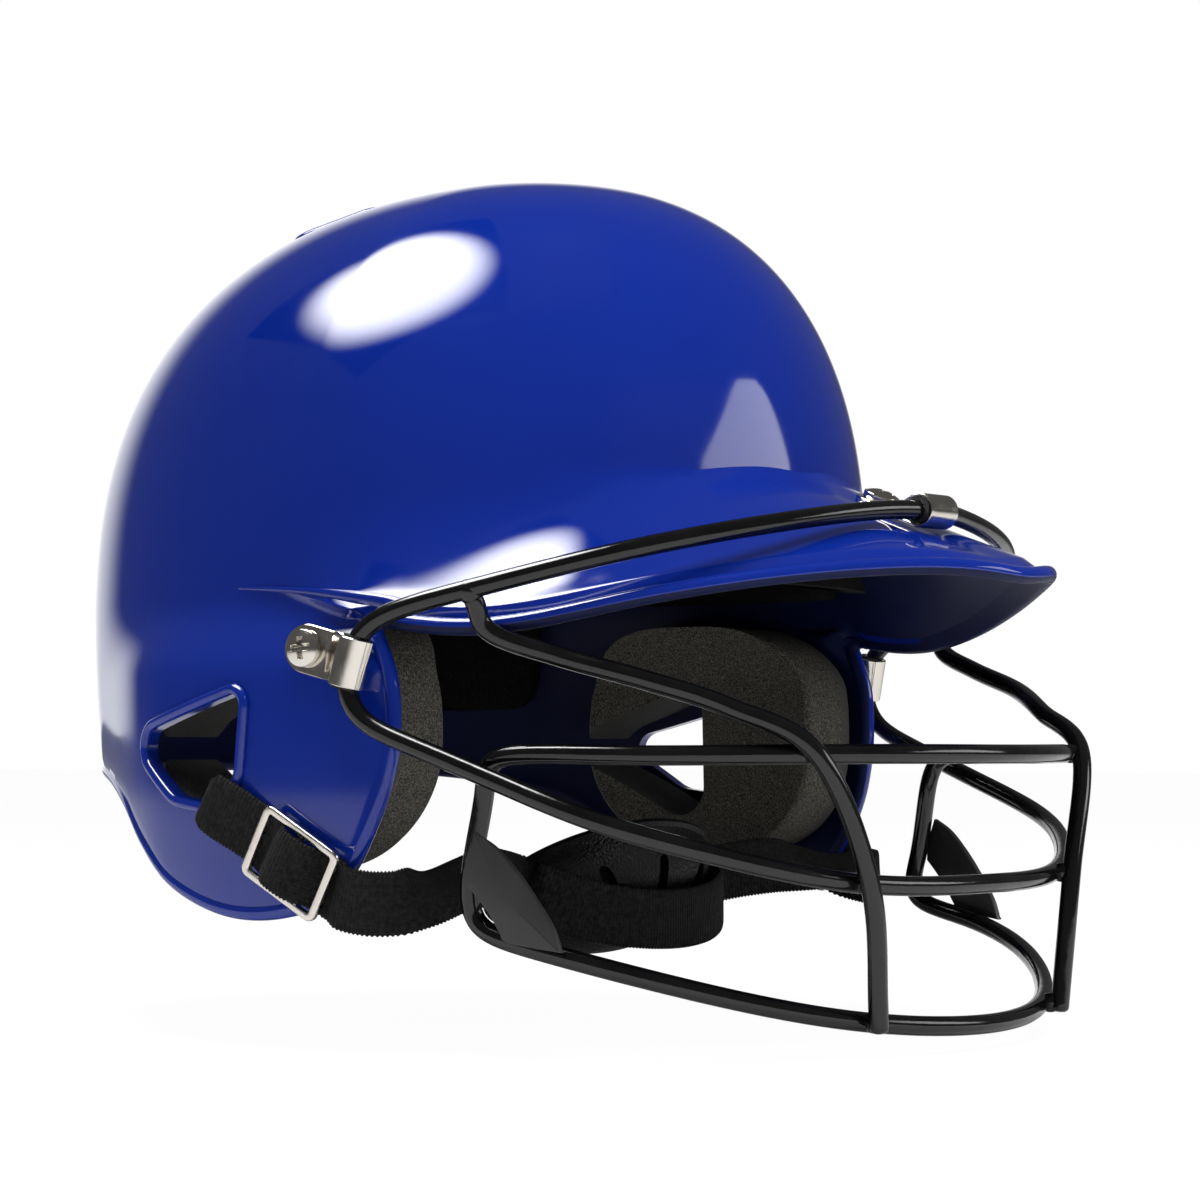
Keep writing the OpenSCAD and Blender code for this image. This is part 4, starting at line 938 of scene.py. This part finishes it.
# Clips: one strip of nickel-plated steel each, 12.6 mm wide, bent round the wire's sleeve and laid double
# under its screw, where both ends are rounded off. The top leaf has a crease where it rises.
clip_wide = 12.6
bright_nickel, tree, shader = new_finish("bright nickel plate", rgb(214, 209, 200), 0.12, metal=1.0)
gloss_by(tree, shader, grain(tree, 300, 3), 0.08, 0.2)
raise_by(tree, shader, (grain(tree, 120, 2), 0.12, 0.0003), (grain(tree, 3000, 2), 0.06, 0.00005))


def at_clip(points, origin, x, z):
    """Points given across the clip, along its tab and out of the shell, set at the clip's wire."""
    return origin + points[..., :1] * x + points[..., 1:2] * np.cross(z, x) + points[..., 2:] * z


# Each clip's wire, its ways across and out, its lift off the shell, and its side
side_across = np.cross(side_run, side_out)
clip_places = (("front", front_wire, np.array([1.0, 0, 0]), front_out, front_lift, 1),
               ("right", side_wire, side_across, side_out, side_lift, 1),
               ("left", side_wire, side_across, side_out, side_lift, -1))


def clip_band():
    """Strip in the clip's own axes. Its middle line runs along the lower leaf to the ring, round the ring
    under, ahead and over the wire, and down a straight to the crease and the upper leaf. The half width
    falls off as a circle towards both ends."""
    mid = ring_r - band_thick / 2
    end = clip_reach + clip_wide / 2 * np.sin(np.radians(np.linspace(86, 0, 14)))
    crease = np.array([clip_reach * 0.5, -ring_r + 1.5 * band_thick])
    leave = np.arctan2(crease[1], crease[0]) + np.arccos(mid / np.linalg.norm(crease))
    turn = np.linspace(-np.pi / 2, leave - 2 * np.pi, 60)
    lower_leaf = np.column_stack([np.concatenate([end, np.linspace(clip_reach, 0, 14)[1:-1]]),
                                  np.full(len(end) + 12, -mid)])
    ring = mid * np.column_stack([np.cos(turn), np.sin(turn)])
    slope = lerp(ring[-1], crease, np.linspace(0, 1, 12)[1:, None])
    to_screw = np.linspace(crease[0], clip_reach, 12)[1:-1]
    upper_leaf = np.column_stack([np.concatenate([to_screw, end[::-1]]), np.full(len(end) + 10, crease[1])])
    line = np.concatenate([lower_leaf, ring, slope, upper_leaf])
    bent = slice(len(line) - len(upper_leaf) - len(slope), len(line) - 14)
    for _ in range(5):
        line[bent][1:-1] = (line[bent][:-2] + 2 * line[bent][1:-1] + line[bent][2:]) / 4
    half = np.full(len(line), clip_wide / 2)
    tab = line[:, 0] > clip_reach
    half[tab] = np.sqrt(np.maximum(0.04, (clip_wide / 2) ** 2 - (line[tab, 0] - clip_reach) ** 2))
    way = heading(line, False)
    normal = np.column_stack([-way[:, 1], way[:, 0]])
    to_edge = np.array([1, 0.985, 0.95, 0.5, 0, -0.5, -0.95, -0.985])
    face = band_thick * np.array([0, 0.32, 0.5, 0.5, 0.5, 0.5, 0.5, 0.32])
    thick = np.concatenate([face, -face])
    x = half[:, None] * np.concatenate([-to_edge, to_edge])
    yz = line[:, None] + normal[:, None] * thick[:, None]
    return np.concatenate([x[..., None], yz], -1)


for name, origin, x_way, z_way, lift, s in clip_places:
    piece = surface("clip_band_" + name, at_clip(clip_band(), origin, x_way, z_way) * [s, 1, 1], sharp=35)
    piece.data.materials.append(bright_nickel)
    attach(piece, "helmet")
    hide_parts("clip_" + name)

# Screws: M5 machine screws with domed heads of 9.5 mm and a cross recess, nickel-plated, through the clip
# and the shell. Their zinc-plated nuts inside, and the black sleeves in the clips, stay as the solids.
head_r, head_edge_r, shank_r, head_high = 4.75, 0.35, 2.4, 3.0
nut_high, screw_past = 3.2, 1.6
screw_long = 2 * band_thick + clip_gap + wall + clip_gap + nut_high + screw_past
for name, origin, x_way, z_way, lift, s in clip_places:
    foot_z = -screw_long - lift
    turn = np.radians(np.linspace(0, 90, 8))
    dome_r = np.linspace(head_r - head_edge_r, 0.12, 44)
    dome_z = head_high - head_r * 2 + np.sqrt((head_r * 2) ** 2 - dome_r ** 2)
    shoulder = dome_z[0]
    rim_r = head_r - head_edge_r + head_edge_r * np.cos(turn)
    rim_z = shoulder - head_edge_r + head_edge_r * np.sin(turn)
    profile_r = np.concatenate([[shank_r - 0.5, shank_r, shank_r, head_r - 0.2, head_r], rim_r, dome_r[1:]])
    profile_z = np.concatenate([[foot_z, foot_z + 0.6, 0.02, 0.04, 0.25], rim_z, dome_z[1:]])
    t = np.linspace(0, 2 * np.pi, 96, endpoint=False)
    px, py = profile_r[:, None] * np.cos(t - 0.35), profile_r[:, None] * np.sin(t - 0.35)
    arm = np.maximum(ease((0.85 - np.abs(px)) / 0.4) * ease((2.9 - np.abs(py)) / 0.5),
                     ease((0.85 - np.abs(py)) / 0.4) * ease((2.9 - np.abs(px)) / 0.5))
    pit = np.where(profile_z[:, None] > shoulder, 1.5 * arm, 0)
    turned = np.stack([profile_r[:, None] * np.cos(t), profile_r[:, None] * np.sin(t),
                       profile_z[:, None] - pit], -1)
    turned = at_clip(turned + [0, clip_reach, -ring_r + 2 * band_thick], origin, x_way, z_way)
    piece = surface("clip_screw_" + name, turned * [s, 1, 1], sharp=50)
    piece.data.materials.append(bright_nickel)
    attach(piece, "helmet")
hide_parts("clip_screws")
zinc, tree, shader = new_finish("zinc-plated nuts", rgb(168, 168, 166), 0.32, metal=1.0)
tint(tree, shader, grain(tree, 500, 3), 0.3, 0.7, rgb(150, 150, 148), rgb(186, 186, 182))
gloss_by(tree, shader, grain(tree, 700, 2), 0.25, 0.42)
sleeve_rubber, tree, shader = new_finish("black rubber sleeves", rgb(20, 20, 20), 0.7)
raise_by(tree, shader, (grain(tree, 1500, 2), 0.3, 0.0002))
for node, finish in (("clip_nuts", zinc), ("sleeve_front", sleeve_rubber), ("sleeve_right", sleeve_rubber),
                     ("sleeve_left", sleeve_rubber)):
    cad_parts[node].data.materials.clear()
    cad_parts[node].data.materials.append(finish)

# Three-bar slides: pressed from nickel-plated steel, 26 mm long, with rounded edges. The webbing runs
# under the end bars and over the middle one.
web_wide, web_thick, gap = 16, 1.6, 0.3
slide_long, slide_thick = 26, 1.8
slide_at, slide_dir = np.array([20.5, -28.3]), unit(np.array([-0.86, -0.51]))
strap_lift = gap + web_thick / 2
slide_lift = strap_lift + web_thick / 2 + gap + slide_thick / 2
hump_lift = slide_lift + slide_thick / 2 + 2.4 * gap + web_thick / 2


def on_side(y, z):
    """Place on the right flap's outer face, by place along and up."""
    return np.stack([-side_x(y, z), y, z], -1)


def off_side(y, z, lift):
    """Place beside the flap, lifted off it along its own way out."""
    y, z, lift = (np.asarray(v, float) for v in np.broadcast_arrays(y, z, lift))
    out = unit(np.cross(on_side(y, z + 1) - on_side(y, z - 1), on_side(y + 1, z) - on_side(y - 1, z)))
    return on_side(y, z) + lift[..., None] * out


slide_run = unit(on_side(*(slide_at + slide_dir)) - on_side(*(slide_at - slide_dir)))
slide_out = unit(off_side(*slide_at, 1) - on_side(*slide_at))
slide_place = off_side(*slide_at, slide_lift)


def rounded_bar(path, out, half_wide, half_thick, round_path):
    """Flat bar with rounded edges: a superellipse of the fourth power, carried along a path."""
    way = heading(path, round_path)
    across = np.cross(way, out)
    t = np.linspace(0, 2 * np.pi, 20, endpoint=False)
    u = np.sign(np.cos(t)) * np.abs(np.cos(t)) ** 0.5
    v = np.sign(np.sin(t)) * np.abs(np.sin(t)) ** 0.5
    wide = np.broadcast_to(half_wide, len(path))[:, None, None]
    return path[:, None] + wide * u[:, None] * across[:, None] + half_thick * v[:, None] * out


def slide_frame():
    """Middle line of the frame: a rectangle whose corners are short quarter rounds."""
    long, wide, corner = slide_long / 2 - 1.2, web_wide / 2 + gap + 0.9, 1.6
    turn = np.radians(np.linspace(0, 90, 7))
    quarter = np.column_stack([np.cos(turn), np.sin(turn)])
    runs = []
    for sx, sy in ((1, 1), (-1, 1), (-1, -1), (1, -1)):
        turned = quarter if sx * sy > 0 else quarter[::-1]
        runs.append(np.array([sx, sy]) * ([long - corner, wide - corner] + corner * turned))
    return np.concatenate(runs)


nickel_slide, tree, shader = new_finish("satin nickel slide", rgb(214, 208, 200), 0.28, metal=1.0)
gloss_by(tree, shader, grain(tree, 250, 2), 0.2, 0.3)
raise_by(tree, shader, (grain(tree, 500, 2), 0.06, 0.0001))
for side_name, s in both_sides:
    flat = slide_frame()
    up_way = np.array([0.0, 0, 1])
    ring = np.column_stack([flat, np.zeros(len(flat))])
    bar_half = lerp(0.9, 1.17, ease((np.abs(flat[:, 0]) - 9) / 3))
    frame_points = rounded_bar(ring, up_way, bar_half, slide_thick / 2, True)
    middle_path = np.column_stack([np.zeros(12), np.linspace(-8.9, 8.9, 12), np.zeros(12)])
    middle_points = rounded_bar(middle_path, up_way, 1.17, slide_thick / 2 - 0.1, False)
    for name, cloud, closed in (("slide_frame_", frame_points, True), ("slide_bar_", middle_points, False)):
        placed = (slide_place + cloud[..., :1] * slide_run + cloud[..., 1:2] * np.cross(slide_out, slide_run)
                  + cloud[..., 2:] * slide_out)
        piece = surface(name + side_name, placed * [s, 1, 1], round_path=closed, sharp=50)
        piece.data.materials.append(nickel_slide)
        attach(piece, side_name + "_slide")
    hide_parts("slide_" + side_name)

# Chin strap: one run of black ribbed elastic, 16 mm wide. It comes out of each ear hole, goes through its
# slide and on under the flap's corner, and carries the cup in front of the chin.
hinge = np.array([-4, -38.5])
band_x = -side_x(4.0, -33.0) - 0.6 - strap_lift
elastic, tree, shader = new_finish("black ribbed elastic", rgb(17, 17, 17), 0.9, shine=0.2)
thread = own_map(tree)


def wave(tree, value, pitch):
    """Rounded ridges of that pitch in millimetres, from 0 to 1."""
    turn = add_node(tree, "ShaderNodeMath", {0: value, 1: 2 * np.pi / pitch}, operation="MULTIPLY")
    sine = add_node(tree, "ShaderNodeMath", {0: turn.outputs[0]}, operation="SINE")
    return add_node(tree, "ShaderNodeMapRange", {"Value": sine.outputs[0], "From Min": -1.0}).outputs[0]


rib_pitch = 1.1
ribs = wave(tree, thread.outputs["Y"], rib_pitch)
courses = wave(tree, thread.outputs["X"], 0.9)
tint(tree, shader, grain(tree, 900, 3), 0.35, 0.75, rgb(13, 13, 13), rgb(34, 34, 33))
raise_by(tree, shader, (ribs, 0.5, 0.0003), (courses, 0.45, 0.00025), (grain(tree, 1600, 2), 0.4, 0.0002))


def ribbon(name, path, across, half):
    """Strip with thin rounded edges along a path: the rib ends make small teeth along both its edges, and
    the map holds millimetres across and along it."""
    way = heading(path, False)
    side_way = unit(across - dot(across, way) * way)
    normal = np.cross(way, side_way)
    length = np.concatenate([[0], np.cumsum(np.linalg.norm(np.diff(path, axis=0), axis=1))])
    u = np.sin(np.linspace(-np.pi / 2, np.pi / 2, 15))
    u = np.concatenate([u, u[-2:0:-1]])
    lift = np.sqrt(1 - np.abs(u) ** 10) * web_thick / 2 * np.repeat([1, -1], [15, 13])
    tooth = 0.22 * np.sin(2 * np.pi * length / rib_pitch)
    reach = (half + tooth)[:, None] * u
    points = path[:, None] + reach[..., None] * side_way[:, None] + lift[:, None] * normal[:, None]
    uv = np.stack([reach, length[:, None] + 0 * reach], -1)
    return surface(name, points, uv=uv, sharp=60)


def spaced(path, extra, step=0.27):
    """The path and its values at even steps along it."""
    length = np.concatenate([[0], np.cumsum(np.linalg.norm(np.diff(path, axis=0), axis=1))])
    at = np.arange(0, length[-1], step)
    both = np.column_stack([path, extra])
    return np.column_stack([np.interp(at, length, column) for column in both.T])


def on_run(share, lift):
    """Point of the strap by its share of the slide's half length from the slide's middle."""
    return [*(slide_at + slide_dir * slide_long / 2 * share), lift]


# Middle line of the run, from inside the ear hole over its lip and through the slide, as places along and
# up the flap and lifts off it, then as points from the flap's corner to the chin
strap_line = np.array([[51.8, -8.2, -4.5], [50.2, -10.2, -1.2], [48, -12.4, ear_lip_r + strap_lift + 0.6],
                       [45.2, -14, ear_lip_r + strap_lift + 0.7], on_run(-1.3, strap_lift + 0.4),
                       on_run(-1, strap_lift), on_run(-0.6, strap_lift + 0.8), on_run(-0.28, hump_lift),
                       on_run(0.28, hump_lift), on_run(0.6, strap_lift + 0.8), on_run(1, strap_lift)])
strap_half = np.array([3, 3.6, 6.4] + [web_wide / 2] * 15)
strap_x = band_x - web_thick - gap
run_line = np.concatenate([off_side(*strap_line.T), [
    [strap_x, hinge[0] + 9, hinge[1] + 1.5], [strap_x + 1.2, hinge[0] + 1.5, hinge[1] + 0.3],
    [band_x + 3.4, hinge[0] - 4.4, hinge[1] + 0.4], [-104, -10.5, -37], [-94, -9.6, -36], [-85, -8, -35],
    [-74, -5, -34.2]]])
# Way across the webbing at each point of the line
turned_up = np.array([[0, -0.51, 0.86]] * 10
                     + [[0, -0.4, 0.92], [0, -0.15, 0.99], [0, 0, 1], [0, 0, 1], [0, 0.35, 0.94],
                        [0, 0.75, 0.66], [0, 0.8, 0.6], [0, 0.6, 0.8]])
k = np.column_stack([run_line, turned_up, strap_half])
k = np.concatenate([2 * k[:1] - k[1:2], k, 2 * k[-1:] - k[-2:-1]])
fine = passed(k, np.linspace(0, len(k) - 3, 500))
run = spaced(fine[:, :3], fine[:, 3:])
for side_name, s in both_sides:
    piece = ribbon("strap_run_" + side_name, run[:, :3] * [s, 1, 1], run[:, 3:6] * [s, 1, 1], run[:, 6])
    piece.data.materials.append(elastic)
    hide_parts("strap_" + side_name)
    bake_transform(piece)

# The band across the chin lies round the cup: its middle line runs off both straps and round the cup's
# ellipse
cup_mid = np.array([0, 12, -35])
cup_half, cup_rise, cup_depth, cup_wall = 42, 24, 20, 2.4
band_out = web_thick / 2 + 2.5 * gap
front_a = np.radians([10, 25, 42, 58, 74, 90])
band_line = np.concatenate([run_line[-2:], [[-62, -1, -33.5]], np.column_stack(
    [-(cup_half + band_out) * np.cos(front_a), cup_mid[1] - 2 - (cup_rise - 2 + band_out) * np.sin(front_a),
     -34 - 12 * np.sin(front_a)])])
band_up = np.array([turned_up[-2], turned_up[-1], [0, 0.2, 0.97]] + [[0, 0, 1]] * 6)
k = np.column_stack([band_line, band_up])
k = np.concatenate([k, k[-2::-1] * [-1, 1, 1, -1, 1, 1]])
k = np.concatenate([2 * k[:1] - k[1:2], k, 2 * k[-1:] - k[-2:-1]])
fine = passed(k, np.linspace(1, len(k) - 4, 900))
front_run_line = spaced(fine[:, :3], fine[:, 3:])
chin_band = ribbon("chin_elastic", front_run_line[:, :3], front_run_line[:, 3:6],
                   np.full(len(front_run_line), web_wide / 2))
chin_band.data.materials.append(elastic)
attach(chin_band, "chin_strap")
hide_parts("chin_band")

# Chin cup: a dish moulded in black plastic with a pebbled outside, a turned-out rim and three slots, held
# in the curve of the chin band, with a black felt liner glued inside.
cup_up = np.array([0, -0.8, 0.6])
cup_down = np.cross([1, 0, 0], cup_up)


def cup_point(turn, a, inset, flange=0.0):
    """Half of an egg: the rim's ellipse times the sine of the turn, and the depth times its cosine."""
    turn, a = np.broadcast_arrays(np.asarray(turn, float)[..., None], np.asarray(a, float)[..., None])
    side_way = ((cup_half - inset + flange) * np.cos(a) * [1, 0, 0]
                + (cup_rise - inset + flange) * np.sin(a) * cup_up)
    return cup_mid + np.sin(turn) * side_way + np.cos(turn) * (cup_depth - inset) * cup_down


t = np.linspace(0, 2 * np.pi, 120, endpoint=False)[None, :]
outside = cup_point(np.radians(np.linspace(2, 84, 34))[:, None], t, 0)
flange = np.array([cup_point(np.radians([angle]), t[0], inset, out) for angle, inset, out in
                   ((88, 0, 0.3), (89, 0, 1.0), (90, 0, 1.5), (92, 0, 1.6), (93.5, 0, 1.3), (93.5, 1.0, 0.4),
                    (92, 2.2, 0))])
within = cup_point(np.radians(np.linspace(90, 2, 34))[:, None], t, cup_wall)
cup = surface("chin_dish", np.concatenate([outside, flange, within]))
slot_tools = []
for a in (128, 91, 55):
    g = np.radians(np.linspace(36, 66, 18))
    line = cup_point(g, np.full(18, np.radians(a)), cup_wall / 2)
    beside = cup_point(g, np.full(18, np.radians(a + 1)), cup_wall / 2)
    way = heading(line, False)
    across = unit(beside - line)
    normal = np.cross(way, across)
    turn = np.linspace(0, 2 * np.pi, 24, endpoint=False)[:, None]
    half = 2.1 * np.sqrt(np.maximum(0.02, 1 - np.abs(np.linspace(-1, 1, 18)) ** 5))[:, None, None]
    tool = line[:, None] + half * np.cos(turn) * across[:, None] + 4 * np.sin(turn) * normal[:, None]
    slot_tools.append(surface("plug", tool))
cut(cup, slot_tools, 40)
cup_black, tree, shader = new_finish("pebbled black plastic", rgb(7, 7, 8), 0.36, shine=0.15)
tint(tree, shader, grain(tree, 200, 3), 0.3, 0.7, rgb(5, 5, 6), rgb(9, 9, 10))
gloss_by(tree, shader, grain(tree, 1200, 2), 0.28, 0.45)
raise_by(tree, shader, (cells(tree, 1300), 0.6, 0.0003))
cup.data.materials.clear()
cup.data.materials.append(cup_black)
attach(cup, "chin_strap")
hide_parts("chin_cup")
felt_thick = 2.2
turn = np.radians(np.linspace(2, 82, 30))[:, None]
felt_rows = [cup_point(turn, t, cup_wall + 0.2), cup_point(turn[::-1], t, cup_wall + 0.2 + felt_thick)]
liner = surface("chin_felt", np.concatenate(felt_rows), sharp=60)
felt, tree, shader = new_finish("black felt liner", rgb(12, 12, 12), 0.95, shine=0.08)
tint(tree, shader, grain(tree, 1500, 3), 0.35, 0.7, rgb(8, 8, 8), rgb(22, 22, 21))
raise_by(tree, shader, (grain(tree, 2200, 3), 0.4, 0.0003))
liner.data.materials.append(felt)
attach(liner, "chin_strap")
